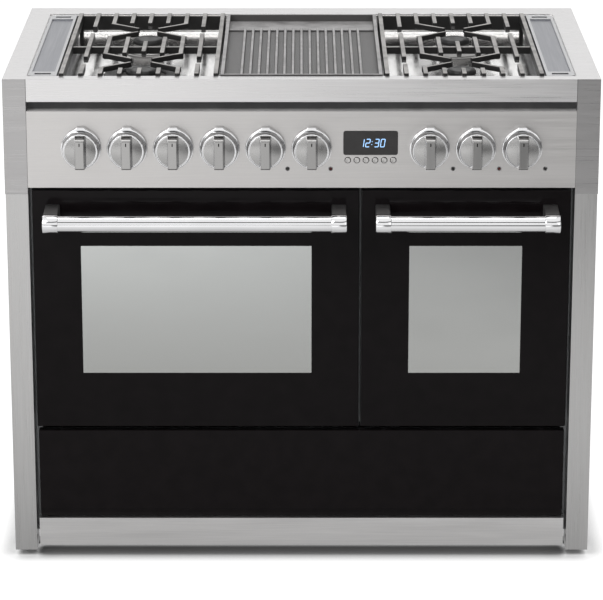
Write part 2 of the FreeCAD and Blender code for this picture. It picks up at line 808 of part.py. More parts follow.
def door_frame(side):
    """Hollow pan between the two glasses, with cooling slots, hinge blocks and their pins."""
    x0, x1 = DOORS[side]
    a, b = x0 - PAN_EDGE, x1 + PAN_EDGE
    t = PAN_SHEET
    window = (x0 + WINDOW_SIDE - DUCT_OVER, x1 - WINDOW_SIDE + DUCT_OVER)
    sill = (DOOR_Z0 + WINDOW_END - DUCT_OVER, DOOR_Z1 - WINDOW_END + DUCT_OVER)
    pan = block(a, b, GLASS_T, PAN_BACK, DOOR_Z0, DOOR_Z1)
    room = block(a + t, b - t, GLASS_T + t, PAN_BACK - t, DOOR_Z0 + t, DOOR_Z1 - t)
    duct = block(window[0] - t, window[1] + t, GLASS_T, PAN_BACK, sill[0] - t, sill[1] + t)
    light = block(*window, GLASS_T, PAN_BACK, *sill)
    pan = pan.cut(room.cut(duct)).cut(light)
    middle = (a + b) / 2
    vents = []
    for n in (-1, 1):
        x = middle + n * (b - a) / 5
        for z in (DOOR_Z0, DOOR_Z1 - t):
            vents.append(block(x - VENT_HALF, x + VENT_HALF, *VENT_DEPTHS, z, z + t))
    pan = pan.cut(Part.makeCompound(vents))
    blocks, notches, pins = [], [], []
    for x in hinge_xs(side):
        half = ARM_T / 2 + HINGE_GAP
        wide = half + HINGE_BLOCK
        top = HINGE_Z + ARM_R + PIN_R / 2
        blocks.append(
            block(x - wide, x + wide, GLASS_T + t, PAN_BACK - t, DOOR_Z0 + t, top + 2 * t)
        )
        notches.append(
            block(
                x - half, x + half, HINGE_D - ARM_R - HINGE_GAP, PAN_BACK, DOOR_Z0, top
            )
        )
        reach = half + HINGE_GAP
        pins.append(post(PIN_R, 2 * reach, x - reach, HINGE_D, HINGE_Z, RIGHT))
    pan = fuse([pan, *blocks]).cut(Part.makeCompound(notches))
    return fuse([pan, *pins])


def door_glass(side):
    """Front glass with a fine chamfer all round its face."""
    x0, x1 = DOORS[side]
    glass = block(x0, x1, 0, GLASS_T, DOOR_Z0, DOOR_Z1)
    rim = [e for e in glass.Edges if e.BoundBox.YMax < 0.01]
    return glass.makeChamfer(GLASS_BEVEL, rim)


def inner_glass(side):
    """Rear glass, which meets the seal."""
    x0, x1 = oven_span(side)
    grow = LINER_LIP + 2
    return block(x0 - grow, x1 + grow, PAN_BACK, DOOR_T, OVEN_Z0 - grow, OVEN_Z1 + grow)


def handle(side):
    """Bar with a larger cap at each end, on two stubby brackets."""
    x0, x1 = DOORS[side]
    a, b = x0 + HANDLE_IN, x1 - HANDLE_IN
    z = DOOR_Z1 - HANDLE_DROP
    cap = [
        (CAP_R - CAP_BEVEL, 0),
        (CAP_R, CAP_BEVEL),
        (CAP_R, CAP_W - CAP_BEVEL),
        (CAP_R - CAP_BEVEL, CAP_W),
        (BAR_R, CAP_W),
    ]
    far = [(radius, b - a - along) for radius, along in reversed(cap)]
    bar = turned([(0, 0), *cap, *far, (0, b - a)], a, -HANDLE_OUT, z, RIGHT, KNOB_SIDES)
    half = (CAP_R - CAP_BEVEL) * math.cos(math.pi / KNOB_SIDES)
    leg = [
        (0, z - half + CAP_BEVEL),
        (0, z + half + LEG_RISE),
        (-HANDLE_OUT, z + half),
        (-HANDLE_OUT, z - half),
    ]
    legs = [across(leg, start + CAP_BEVEL, start + CAP_W - CAP_BEVEL) for start in (a, b - CAP_W)]
    return fuse([bar, *legs])


def hinge_bracket(x):
    """Arm from the face frame into the door's notch, bored for the pin."""
    outline = [(FACE_D, HINGE_Z + ARM_R), (FACE_D, HINGE_Z - ARM_R)]
    for step in range(ARM_FLATS + 1):
        angle = math.radians(270 - 180 * step / ARM_FLATS)
        outline.append((HINGE_D + ARM_R * math.cos(angle), HINGE_Z + ARM_R * math.sin(angle)))
    start = x - ARM_T / 2
    arm = across(outline, start, start + ARM_T)
    w, h = ARM_FOOT
    foot = block(x - w, x + w, FACE_D - ARM_FOOT_T, FACE_D, HINGE_Z - h, HINGE_Z + h)
    bore = faceted_hole(PIN_R + RUN_GAP, ARM_T, start, HINGE_D, HINGE_Z, RIGHT, SMALL_SIDES)
    return fuse([arm, foot]).cut(bore)


# ---------------------------------------------------------------- drawer

def drawer_front():
    """Folded front with a set-back lower lip and closed ends."""
    a, t = DRAWER_SET, PAN_SHEET
    b = a + DRAWER_T
    half = INNER_X - DOOR_SIDE_GAP - 0.5
    z0, z1 = DRAWER_Z0, DRAWER_Z1
    outer = [(a + LIP_D, z0), (b, z0), (b, z1), (a, z1), (a, z0 + LIP_H)]
    inner = [
        (a + LIP_D + t, z0 + t),
        (b, z0 + t),
        (b, z1 - t),
        (a + t, z1 - t),
        (a + t, z0 + LIP_H + t / 2),
    ]
    return across(outer, -half, half).cut(across(inner, t - half, half - t))


def drawer_box():
    """Open box with a front plate and a sliding flange along each side."""
    t = PAN_SHEET
    half = BOX_X
    d0 = DRAWER_SET + DRAWER_T
    z0 = DRAWER_Z0 + BOX_LIFT
    z1 = z0 + BOX_H
    tub = block(-half, half, d0, d0 + BOX_D, z0, z1)
    room = block(t - half, half - t, d0 + t, d0 + BOX_D - t, z0 + t, z1)
    plate_half = INNER_X - DOOR_SIDE_GAP - 2
    plate = block(-plate_half, plate_half, d0, d0 + t, DRAWER_Z0 + t, DRAWER_Z1 - t / 2)
    wings = [
        block(x, x + FLANGE_W, FACE_D - FOLD_D, d0 + BOX_D, z1 - t, z1)
        for x in (-half - FLANGE_W, half)
    ]
    return fuse([tub.cut(room), plate, *wings])


def drawer_runner():
    """Right-hand rail on the base frame; the drawer's flange slides over its ledge."""
    x = BOX_X + RUNNER_IN
    end = BOX_X + FLANGE_W
    ledge = DRAWER_Z0 + BOX_LIFT + BOX_H - PAN_SHEET - RUNNER_GAP
    foot = SKIN_X - RAIL_W + RUNNER_FOOT
    outline = [
        (x, PLINTH_Z),
        (foot, PLINTH_Z),
        (foot, PLINTH_Z + SHEET),
        (x + SHEET, PLINTH_Z + SHEET),
        (x + SHEET, ledge - SHEET),
        (end, ledge - SHEET),
        (end, ledge),
        (x, ledge),
    ]
    d0, d1 = FACE_D + FOLD_D + 2, FACE_D + BOX_D
    face = face_of([(px, d0, pz) for px, pz in outline])
    return face.extrude(V(0, d1 - d0, 0))


# ---------------------------------------------------------------- control panel

def control_panel():
    """Folded steel front with every hole for the knobs, lamps, clock and buttons."""
    t = SHEET
    outline = [
        (0, PANEL_Z0),
        (FACE_D, PANEL_Z0),
        (FACE_D, PANEL_Z0 + t),
        (t, PANEL_Z0 + t),
        (t, PANEL_Z1 - t),
        (SLOT_D + t, PANEL_Z1 - t),
        (SLOT_D + t, PANEL_Z1),
        (0, PANEL_Z1),
    ]
    panel = across(outline, -INNER_X, INNER_X)
    tools = [faceted_hole(SPINDLE_HOLE_R, t, x, 0, KNOB_Z, BACK, 6) for x in KNOB_XS]
    lamp_z, button_z = KNOB_Z - LAMP_DROP, KNOB_Z - BUTTON_DROP
    tools += [faceted_hole(LAMP_R + 0.1, t, x, 0, lamp_z, BACK, 6) for x in LAMP_XS]
    tools += [
        faceted_hole(BUTTON_R + BUTTON_GAP, t, x, 0, button_z, BACK, SMALL_SIDES)
        for x in BUTTON_XS
    ]
    tools.append(clock_window(0.25, 0, t))
    return panel.cut(Part.makeCompound(tools))


def clock_window(grow, d0, d1):
    z = KNOB_Z + CLOCK_UP
    w, h = CLOCK_W / 2 + grow, CLOCK_H / 2 + grow
    return rounded_panel(CLOCK_X - w, CLOCK_X + w, z - h, z + h, d0, d1, CORNER_R + grow)


def clock_module():
    """Dark window and the housing behind it, with a blind guide for each button."""
    w = CLOCK_W / 2 + CASE_OVER
    z0 = KNOB_Z - BUTTON_DROP - BUTTON_R - CASE_RIM
    z1 = KNOB_Z + CLOCK_UP + CLOCK_H / 2 + CASE_RIM
    case = block(CLOCK_X - w, CLOCK_X + w, SHEET, SHEET + MODULE_D, z0, z1)
    z = KNOB_Z - BUTTON_DROP
    guides = [
        faceted_hole(BUTTON_R + BUTTON_GAP, BUTTON_LEN, x, SHEET, z, BACK, SMALL_SIDES)
        for x in BUTTON_XS
    ]
    return [case.cut(Part.makeCompound(guides)), clock_window(0, -0.5, SHEET)]


def clock_button(x):
    profile = [
        (0, 0),
        (BUTTON_R, 0),
        (BUTTON_R, BUTTON_LEN - 0.7),
        (BUTTON_R - 0.7, BUTTON_LEN),
        (0, BUTTON_LEN),
    ]
    return turned(
        profile, x, BUTTON_LEN - BUTTON_OUT, KNOB_Z - BUTTON_DROP, FRONT, SMALL_SIDES
    )


def indicator_lamps():
    """Lens with a small bezel on the panel and a holder behind it."""
    profile = [
        (0, -LAMP_BACK),
        (LAMP_R, -LAMP_BACK),
        (LAMP_R, 0),
        (LAMP_R + 0.9, 0),
        (LAMP_R - 1.4, 2.2),
        (0, 2.2),
    ]
    return [turned(profile, x, 0, KNOB_Z - LAMP_DROP, FRONT, 6) for x in LAMP_XS]


def knob(x):
    """Teardrop skirt, tapered body, bevelled grip bar and a spindle with a flat."""
    nose = SKIRT_R + NOSE_OVER
    reach = math.hypot(nose, NOSE_HALF)
    lean = math.degrees(math.atan2(NOSE_HALF, nose) + math.acos(SKIRT_R / reach))
    outline = [(-NOSE_HALF, nose), (NOSE_HALF, nose)]
    flats = KNOB_SIDES - 2
    for step in range(flats + 1):
        angle = math.radians(90 - lean - (360 - 2 * lean) * step / flats)
        outline.append((SKIRT_R * math.cos(angle), SKIRT_R * math.sin(angle)))
    skirt = face_of([(a, -KNOB_GAP, b) for a, b in outline]).extrude(FRONT * SKIRT_T)
    out, r = KNOB_FACE_OUT, SKIRT_R - FACE_IN
    foot = KNOB_GAP + SKIRT_T / 2
    profile = [(0, foot), (SKIRT_R - BODY_IN, foot), (r, out), (0, out)]
    body = turned(profile, 0, 0, 0, FRONT, KNOB_SIDES)
    base = GRIP_BASE_W / 2
    seat = GRIP_SEAT - out
    section = [
        (-base, seat),
        (base, seat),
        (GRIP_FACE_W / 2, -GRIP_OUT),
        (-GRIP_FACE_W / 2, -GRIP_OUT),
    ]
    r *= math.cos(math.pi / KNOB_SIDES)
    grip = face_of([(a, b, -r) for a, b in section]).extrude(V(0, 0, 2 * r))
    side = [
        (seat, GRIP_END - r),
        (seat, r - GRIP_END),
        (-out - 1, r),
        (-GRIP_OUT, r - GRIP_BEVEL),
        (-GRIP_OUT, GRIP_BEVEL / 2 - r),
        (-out - 1, -r),
    ]
    grip = grip.common(across(side, -base, base))
    r = SPINDLE_R
    spindle = post(r, SPINDLE_LEN + KNOB_GAP, 0, -KNOB_GAP, 0, BACK)
    flat = block(-r, r, -KNOB_GAP, SPINDLE_LEN, r - SPINDLE_FLAT, r)
    whole = fuse([skirt, body, grip, spindle.cut(flat)])
    whole.translate(V(x, 0, KNOB_Z))
    return whole


def spindle_bore(x, d0):
    length = SPINDLE_LEN + 2 * KNOB_GAP - d0
    return faceted_hole(SPINDLE_R + RUN_GAP, length, x, d0, KNOB_Z, BACK, 6)


def control_switches():
    """Rotary switch behind each electric knob, fastened to the panel's back."""
    w, h, d = SWITCH_W / 2, SWITCH_H / 2, SHEET + SWITCH_D
    return [
        block(x - w, x + w, SHEET, d, KNOB_Z - h, KNOB_Z + h).cut(spindle_bore(x, SHEET))
        for x in KNOB_XS[GAS_KNOBS:]
    ]


def gas_train():
    """Manifold on three brackets, four taps, the run to the inlet and a feed to each burner."""
    z = KNOB_Z
    left = KNOB_XS[0] - MANIFOLD_END
    inlet_d = DEPTH - INLET_LEN
    route = [(left, MANIFOLD_D, z), (INLET_X, MANIFOLD_D, z), (INLET_X, inlet_d, z)]
    pieces = [
        bent_tube(route, MANIFOLD_R, MANIFOLD_BEND, WIRE_SIDES),
        post(INLET_R, INLET_LEN, INLET_X, inlet_d, z, BACK),
        faceted_post(NUT_SIDE_R, NUT_LEN, INLET_X, inlet_d - NUT_LEN, z, BACK, 6),
    ]
    for x in (left + PROP_IN, CLOCK_X / 2, INLET_X - MANIFOLD_BEND - 2 * PROP_W):
        half = PROP_W / 2
        pieces.append(block(x - half, x + half, FACE_D, FACE_D + PROP_T, FACE_TOP, z))
    for x in KNOB_XS[:GAS_KNOBS]:
        pieces.append(faceted_post(TAP_R, MANIFOLD_D - TAP_D, x, TAP_D, z, BACK, 8))
    feeds = (
        (KNOB_XS[0], -SUPPORT_X - FEED_OFF, REAR_BURNER_D, FEED_HIGH),
        (KNOB_XS[1], -SUPPORT_X + FEED_OFF, FRONT_BURNER_D, FEED_LOW),
        (KNOB_XS[2], SUPPORT_X - FEED_OFF, REAR_BURNER_D, FEED_HIGH),
        (KNOB_XS[3], SUPPORT_X + FEED_OFF, FRONT_BURNER_D, FEED_LOW),
    )
    for start, end, depth, rise in feeds:
        run = [
            (start, FEED_D, z),
            (start, FEED_D, z + rise),
            (end, FEED_D, z + rise),
            (end, depth, z + rise),
            (end, depth, FLOOR_Z - POT_DROP),
        ]
        pieces.append(bent_tube(run, FEED_R, FEED_BEND))
    bores = [spindle_bore(x, TAP_D) for x in KNOB_XS[:GAS_KNOBS]]
    return fuse(pieces).cut(Part.makeCompound(bores))


# ---------------------------------------------------------------- hob

def hob_surround():
    """Top frame with its skirts, the cheeks beside the control panel and the slot above it."""
    t = SHEET
    top = block(-HALF, HALF, 0, DEPTH, HOB_TOP - t, HOB_TOP)
    outline = corner_outline(-INNER_X, INNER_X, RIM_FRONT, DEPTH - RIM_BACK, RIM_R)
    opening = upright(outline, HOB_TOP - t, HOB_TOP)
    pieces = [
        block(-HALF, HALF, 0, t, STRIP_Z, HOB_TOP),
        block(-HALF, HALF, DEPTH - t, DEPTH, STRIP_Z, HOB_TOP),
        block(-INNER_X - t, INNER_X + t, 0, SLOT_D + t, STRIP_Z, STRIP_Z + t),
        block(-INNER_X, INNER_X, SLOT_D, SLOT_D + t, PANEL_Z1, STRIP_Z + t),
    ]
    for cheek in (
        block(HALF - t, HALF, 0, DEPTH, CHEEK_Z, HOB_TOP),
        block(INNER_X, HALF, 0, t, CHEEK_Z, HOB_TOP),
        block(INNER_X, INNER_X + t, 0, FACE_D, CHEEK_Z, STRIP_Z),
    ):
        pieces += both_sides(cheek)
    return fuse([top.cut(opening), *pieces])


def hob_basin():
    """Pressed tray under the rim, with a hole for each burner and the griddle rod's two legs."""
    t = BASIN_T
    top = HOB_TOP - SHEET
    d0, d1 = RIM_FRONT, DEPTH - RIM_BACK
    tray = rounded_tray(-INNER_X, INNER_X, d0, d1, FLOOR_Z - t, top, BASIN_R, BASIN_SLOPE)
    room = rounded_tray(
        t - INNER_X, INNER_X - t, d0 + t, d1 - t, FLOOR_Z, top, BASIN_R - t, BASIN_SLOPE
    )
    lip = block(-INNER_X - 9, INNER_X + 9, d0 - 9, d1 + 9, top - t, top)
    holes = [
        faceted_hole(POT_R + t, t, side * SUPPORT_X, d, FLOOR_Z - t, UP, BURNER_SIDES)
        for _, side, d, _, _ in BURNERS
    ]
    holes += [
        faceted_hole(ELEMENT_R + t, t, s * ROD_X, COOK_BACK - ROD_IN, FLOOR_Z - t, UP, SMALL_SIDES)
        for s in (-1, 1)
    ]
    return tray.fuse(lip).cut(room).cut(Part.makeCompound(holes))


def port_slots(x, d, z0, z1, r0, r1, count):
    """Radial cuts that open an upper edge as flame ports."""
    slots = []
    for n in range(count):
        slot = block(x + r0, x + r1, d - PORT_W / 2, d + PORT_W / 2, z0, z1)
        slot.rotate(V(x, d, 0), UP, 360 * (n + 0.5) / count)
        slots.append(slot)
    return Part.makeCompound(slots)


def burner_body(name, side, d, base_r, cap_r):
    """Pot below the basin's floor, flange on it, crown with ports and the spark pin."""
    x = side * SUPPORT_X
    flange = RING_OUT if name == DUAL else base_r
    crown_r = cap_r - 2
    body = turned(
        [
            (0, -POT_DROP),
            (POT_R, -POT_DROP),
            (POT_R, 0),
            (flange + 4, 0),
            (flange + 4, 2),
            (base_r, 4),
            (crown_r, CROWN_H - 7),
            (crown_r, CROWN_H),
            (0, CROWN_H),
        ],
        x, d, FLOOR_Z, UP, BURNER_SIDES,
    )
    top = FLOOR_Z + CROWN_H
    pin = faceted_post(SPARK_R, PIN_UP, x + cap_r + PIN_ASIDE, d, FLOOR_Z + 1, UP, 6)
    inner = crown_r - PORT_D
    body = body.cut(port_slots(x, d, top - PORT_H, top, inner, crown_r + 1, PORTS))
    pieces = [body, pin]
    if name == DUAL:
        top -= RING_DROP
        high = CROWN_H - RING_DROP
        near, far = RING_IN + 2, RING_OUT - 3
        outline = [(near, 1), (far, 1), (far, high), (near, high)]
        ring = turned(outline, x, d, FLOOR_Z, UP, BURNER_SIDES)
        slots = port_slots(x, d, top - PORT_H, top, far - PORT_D, RING_OUT, RING_PORTS)
        pieces.append(ring.cut(slots))
    return fuse(pieces)


def burner_cap(name, side, d, base_r, cap_r):
    """Loose enamelled lid; the dual burner has a ring as well."""
    x = side * SUPPORT_X
    low, high = CROWN_H, CROWN_H + CAP_H
    outline = [
        (0, low),
        (cap_r, low),
        (cap_r, low + CAP_H / 2),
        (cap_r - 1.5, high - 1),
        (cap_r - 5, high),
        (0, high),
    ]
    lid = turned(outline, x, d, FLOOR_Z, UP, BURNER_SIDES)
    if name != DUAL:
        return [lid]
    low -= RING_DROP
    outline = [
        (RING_IN, low),
        (RING_OUT, low),
        (RING_OUT, low + 3),
        (RING_OUT - 3, low + RING_H),
        (RING_IN + 2, low + RING_H),
        (RING_IN, low + 3),
    ]
    return [lid, turned(outline, x, d, FLOOR_Z, UP, BURNER_SIDES)]


def support_bar(x, d0, d1):
    """One bar across the burners' line, cut back underneath at both ends."""
    z1 = HOB_TOP + SUPPORT_TOP
    z0 = z1 - BAR_H
    nose, cut = z1 - BAR_NOSE, BAR_CUT
    outline = [(d0, z1), (d1, z1), (d1, nose), (d1 - cut, z0), (d0 + cut, z0), (d0, nose)]
    return across(outline, x - BAR_W / 2, x + BAR_W / 2)


def support_finger(x, d, side, way):
    """Tapered finger from the end of a bar to the edge of the flame."""
    root = V(x + side * 2 * BAR_PITCH, d + way * FINGER_END, 0)
    tip = V(x + side * TIP_X, d + way * TIP_D, 0)
    along = (tip - root).normalize()
    normal = V(-along.y, along.x, 0)
    root -= along * BAR_W / 2
    corners = [
        root + normal * BAR_W / 2,
        tip + normal * TIP_W / 2,
        tip - normal * TIP_W / 2,
        root - normal * BAR_W / 2,
    ]
    top = HOB_TOP + SUPPORT_TOP
    return upright([(c.x, c.y) for c in corners], top - FINGER_H, top)


def pan_support(side):
    """Cast grid over two burners, standing on four feet in the basin."""
    x = side * SUPPORT_X
    z1 = HOB_TOP + SUPPORT_TOP
    z0 = z1 - BAR_H
    w = BAR_W / 2
    last = BARS // 2
    edge = last * BAR_PITCH
    front, back = COOK_FRONT, COOK_BACK
    middle = (FRONT_BURNER_D + REAR_BURNER_D) / 2
    pieces = []
    for n in range(1 - last, last):
        gap = END_GAPS[abs(n)]
        bx = x + n * BAR_PITCH
        pieces.append(support_bar(bx, front, FRONT_BURNER_D - gap))
        pieces.append(support_bar(bx, REAR_BURNER_D + gap, back))
        if n:
            pieces.append(support_bar(bx, FRONT_BURNER_D + gap, REAR_BURNER_D - gap))
        else:
            pieces.append(support_bar(bx, middle - MIDDLE_FRONT, middle + MIDDLE_BACK))
    low = z0 - EDGE_DROP
    for bx in (x - edge, x + edge):
        pieces.append(block(bx - w, bx + w, front, back, low, z1))
        for d in (front + FOOT_IN, back - FOOT_W):
            pieces.append(block(bx - w, bx + w, d, d + FOOT_W, FLOOR_Z, z0))
    rails = (
        (front + w / 2, z0 - FRONT_RAIL_DROP, z0 + w / 2),
        (back - BAR_W, FLOOR_Z + BACK_RAIL_UP, z1 - EDGE_DROP),
        (middle - w, low, z1 - EDGE_DROP),
    )
    for d, bottom, top in rails:
        pieces.append(block(x - edge, x + edge, d, d + BAR_W, bottom, top))
    for d in (FRONT_BURNER_D, REAR_BURNER_D):
        for s in (-1, 1):
            for way in (-1, 1):
                pieces.append(support_finger(x, d, s, way))
    return fuse(pieces)


def griddle_plate():
    """Cast plate with ribs along it, a plain ledge at the back and low walls all round."""
    half, wall = GRIDDLE_W / 2, GRIDDLE_WALL
    top = HOB_TOP + GRIDDLE_TOP
    floor = top - GRIDDLE_SINK
    under = floor - GRIDDLE_T
    bottom = under - GRIDDLE_T
    front, back = COOK_FRONT, COOK_BACK
    ledge = back - LEDGE_LONG
    body = block(-half, half, front, back, bottom, top)
    inside = (wall - half, half - wall, front + wall, back - wall)
    body = body.cut(block(*inside, floor, top)).cut(block(*inside, bottom, under))
    step = block(wall - half, half - wall, ledge, back - wall, floor - 1, floor + LEDGE_T)
    pieces = [body, step]
    for n in range(RIBS):
        x = (n - (RIBS - 1) / 2) * RIB_PITCH
        outline = [(x - RIB_W / 2, floor - 1), (x + RIB_W / 2, floor - 1)]
        outline += [(x + RIB_W / 3, floor + RIB_H), (x - RIB_W / 3, floor + RIB_H)]
        rib = face_of([(px, front + wall, pz) for px, pz in outline])
        pieces.append(rib.extrude(V(0, ledge - front - wall, 0)))
    for x in (-half, half - FOOT_W):
        for d in (front + FOOT_IN, back - FOOT_W):
            pieces.append(block(x, x + FOOT_W, d, d + FOOT_W, FLOOR_Z, under))
    return fuse(pieces)


def side_tray():
    """Right-hand lift-out tray: a shallow recess on top, a finger slot at each end, four feet."""
    x0, x1 = INNER_X - TRAY_IN, INNER_X - TRAY_GAP
    front, back = COOK_FRONT, COOK_BACK
    top, t, c = HOB_TOP, TRAY_T, TRAY_CUT
    outline = [
        (x0, front),
        (x1 - c, front),
        (x1, front + c),
        (x1, back - c),
        (x1 - c, back),
        (x0, back),
    ]
    body = upright(outline, FLOOR_Z + TRAY_LIFT, top)
    under, rim, end = top - TRAY_TOP_T, TRAY_RIM, TRAY_END
    room = block(x0 + t, x1 - t - c, front + t + c, back - t - c, FLOOR_Z, under)
    recess = block(x0 + rim, x1 - rim, front + end, back - end, top - TRAY_SINK, top)
    a, b = x0 + GRIP_IN, x1 - GRIP_IN
    slots = [
        block(a, b, d, d + GRIP_LONG, under, top)
        for d in (front + GRIP_IN, back - GRIP_IN - GRIP_LONG)
    ]
    body = body.cut(Part.makeCompound([room, recess])).cut(Part.makeCompound(slots))
    feet = [
        block(x, x + t, d, d + FOOT_W, FLOOR_Z, FLOOR_Z + TRAY_LIFT + t)
        for x in (x0, x1 - t - c)
        for d in (front + FOOT_IN, back - FOOT_IN - FOOT_W)
    ]
    return fuse([body, *feet])


# ---------------------------------------------------------------- build

def build():
    os.makedirs("parts", exist_ok=True)
    export("left_side_panel", side_panel(-1))
    export("right_side_panel", side_panel(1))
    export("base_frame", base_frame())
    export("levelling_feet", *levelling_feet())
    export("plinth", plinth())
    export("back_panel", back_panel())
    export("terminal_box", terminal_box())
    export("oven_face_frame", oven_face_frame())
    for side in DOORS:
        export(f"{side}_oven_liner", oven_liner(side))
        export(f"{side}_door_frame", door_frame(side))
        export(f"{side}_door_glass", door_glass(side))
        export(f"{side}_inner_glass", inner_glass(side))
        export(f"{side}_handle", handle(side))
    export("door_seals", *[door_seal(side) for side in DOORS])
    export("hinge_brackets", *[hinge_bracket(x) for side in DOORS for x in hinge_xs(side)])
    export("side_racks", *[side_rack(side, wall) for side in DOORS for wall in (-1, 1)])
    export("oven_shelves", *[oven_shelf(side) for side in DOORS])
    export("heating_elements", *heating_elements())
    export("fan_motor", fan_motor())
    export("oven_fan", oven_fan())
    export("drawer_front", drawer_front())
    export("drawer_box", drawer_box())
    export("drawer_runners", *both_sides(drawer_runner()))
    export("control_panel", control_panel())
    export("clock_module", *clock_module())
    export("indicator_lamps", *indicator_lamps())
    export("control_switches", *control_switches())
    export("gas_train", gas_train())
    for n, x in enumerate(KNOB_XS, 1):
        export(f"knob_{n}", knob(x))
    for n, x in enumerate(BUTTON_XS, 1):
        export(f"clock_button_{n}", clock_button(x))
    export("hob_surround", hob_surround())
    export("hob_basin", hob_basin())
    export("burner_bodies", *[burner_body(*burner) for burner in BURNERS])
    for burner in BURNERS:
        export(f"{burner[0]}_burner_cap", *burner_cap(*burner))
    export("left_pan_support", pan_support(-1))
    export("right_pan_support", pan_support(1))
    export("griddle_plate", griddle_plate())
    right, left = both_sides(side_tray())
    export("left_side_tray", left)
    export("right_side_tray", right)


build()
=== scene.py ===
import json
import math

import bmesh
import bpy
from mathutils import Matrix, Vector


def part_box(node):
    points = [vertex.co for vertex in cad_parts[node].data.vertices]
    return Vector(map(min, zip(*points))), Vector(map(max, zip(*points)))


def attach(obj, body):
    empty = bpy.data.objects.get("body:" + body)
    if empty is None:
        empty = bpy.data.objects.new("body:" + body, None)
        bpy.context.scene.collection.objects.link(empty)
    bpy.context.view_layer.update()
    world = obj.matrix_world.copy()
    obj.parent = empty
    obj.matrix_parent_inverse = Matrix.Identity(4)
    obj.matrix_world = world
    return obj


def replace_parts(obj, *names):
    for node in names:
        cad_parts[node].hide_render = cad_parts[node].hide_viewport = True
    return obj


# A range cooker in brushed steel, chrome, black glass and cast iron.
# Metres; x to the right, y to the back, z up. Places come from the frame's own boxes and joints.

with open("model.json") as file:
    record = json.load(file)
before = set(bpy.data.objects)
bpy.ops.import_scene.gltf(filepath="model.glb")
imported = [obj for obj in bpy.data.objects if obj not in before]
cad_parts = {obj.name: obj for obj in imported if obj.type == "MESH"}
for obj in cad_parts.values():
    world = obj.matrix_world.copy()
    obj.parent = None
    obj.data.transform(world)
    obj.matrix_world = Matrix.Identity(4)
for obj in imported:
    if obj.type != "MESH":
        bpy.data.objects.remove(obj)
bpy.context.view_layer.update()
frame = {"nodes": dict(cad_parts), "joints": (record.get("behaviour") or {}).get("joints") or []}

MM = 0.001
NODES = frame["nodes"]
JOINTS = {joint["child"]: joint for joint in frame["joints"]}
LATHE_SIDES = 96
SEAM_HALF = 0.5 * MM
SEAM_SHADE = 0.35
FORWARD = -0.7  # a face to the front looks further to -y than this
LINE_STRETCH, STREAK_STRETCH = 0.012, 0.04  # of brushed lines, along the grain
LEAST_RISE = 0.2 * MM
FLECK = (0.62, 0.64, 0.66)
WINDOW_RISE = (0.33, 0.57)  # heights between which a window's painted reflection changes
GRIDDLE_SINK = 14 * MM  # from the plate's rim to its floor
RIB_TOPS = (0.3 * MM, 1.5 * MM)  # over the floor: start of the painted highlight on the rib tops, and its rise
TRAY_SINK = 1.5 * MM
KNOBS = [f"knob_{n}" for n in range(1, 10)]
BUTTONS = [f"clock_button_{n}" for n in range(1, 7)]
WINDOW_PAINTED_LIGHT = {  # painted reflection and light: colour at the top and at the foot; the left door is lit paler
    "left": ((0.64, 0.655, 0.645), (0.50, 0.505, 0.49)),
    "right": ((0.54, 0.55, 0.54), (0.53, 0.535, 0.52)),
}
SIDES = ("left", "right")
BURNERS = ("front_left", "rear_left", "front_right", "rear_right")


def centre(node):
    """The middle of a node's box."""
    low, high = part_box(node)
    return (low + high) / 2


# ------------------------------------------------------------------ materials

def feed_socket(tree, socket, value):
    """Links an output to a socket, or sets the socket to a number or a colour."""
    if isinstance(value, bpy.types.NodeSocket):
        tree.links.new(value, socket)
    else:
        socket.default_value = value


def link_math(tree, operation, *values):
    """A math node fed by outputs or numbers."""
    node = tree.nodes.new("ShaderNodeMath")
    node.operation = operation
    for socket, value in zip(node.inputs, values):
        feed_socket(tree, socket, value)
    return node.outputs[0]


def link_range(tree, value, from_low, from_high, low, high):
    """A value carried from one range to another and held at its ends."""
    node = tree.nodes.new("ShaderNodeMapRange")
    tree.links.new(value, node.inputs["Value"])
    ends = (("From Min", from_low), ("From Max", from_high), ("To Min", low), ("To Max", high))
    for name, number in ends:
        node.inputs[name].default_value = number
    return node.outputs["Result"]


def times(color, factor, lift=0.0):
    """A colour made darker or lighter and held at white."""
    return tuple(min(1, c * factor + lift) for c in color)


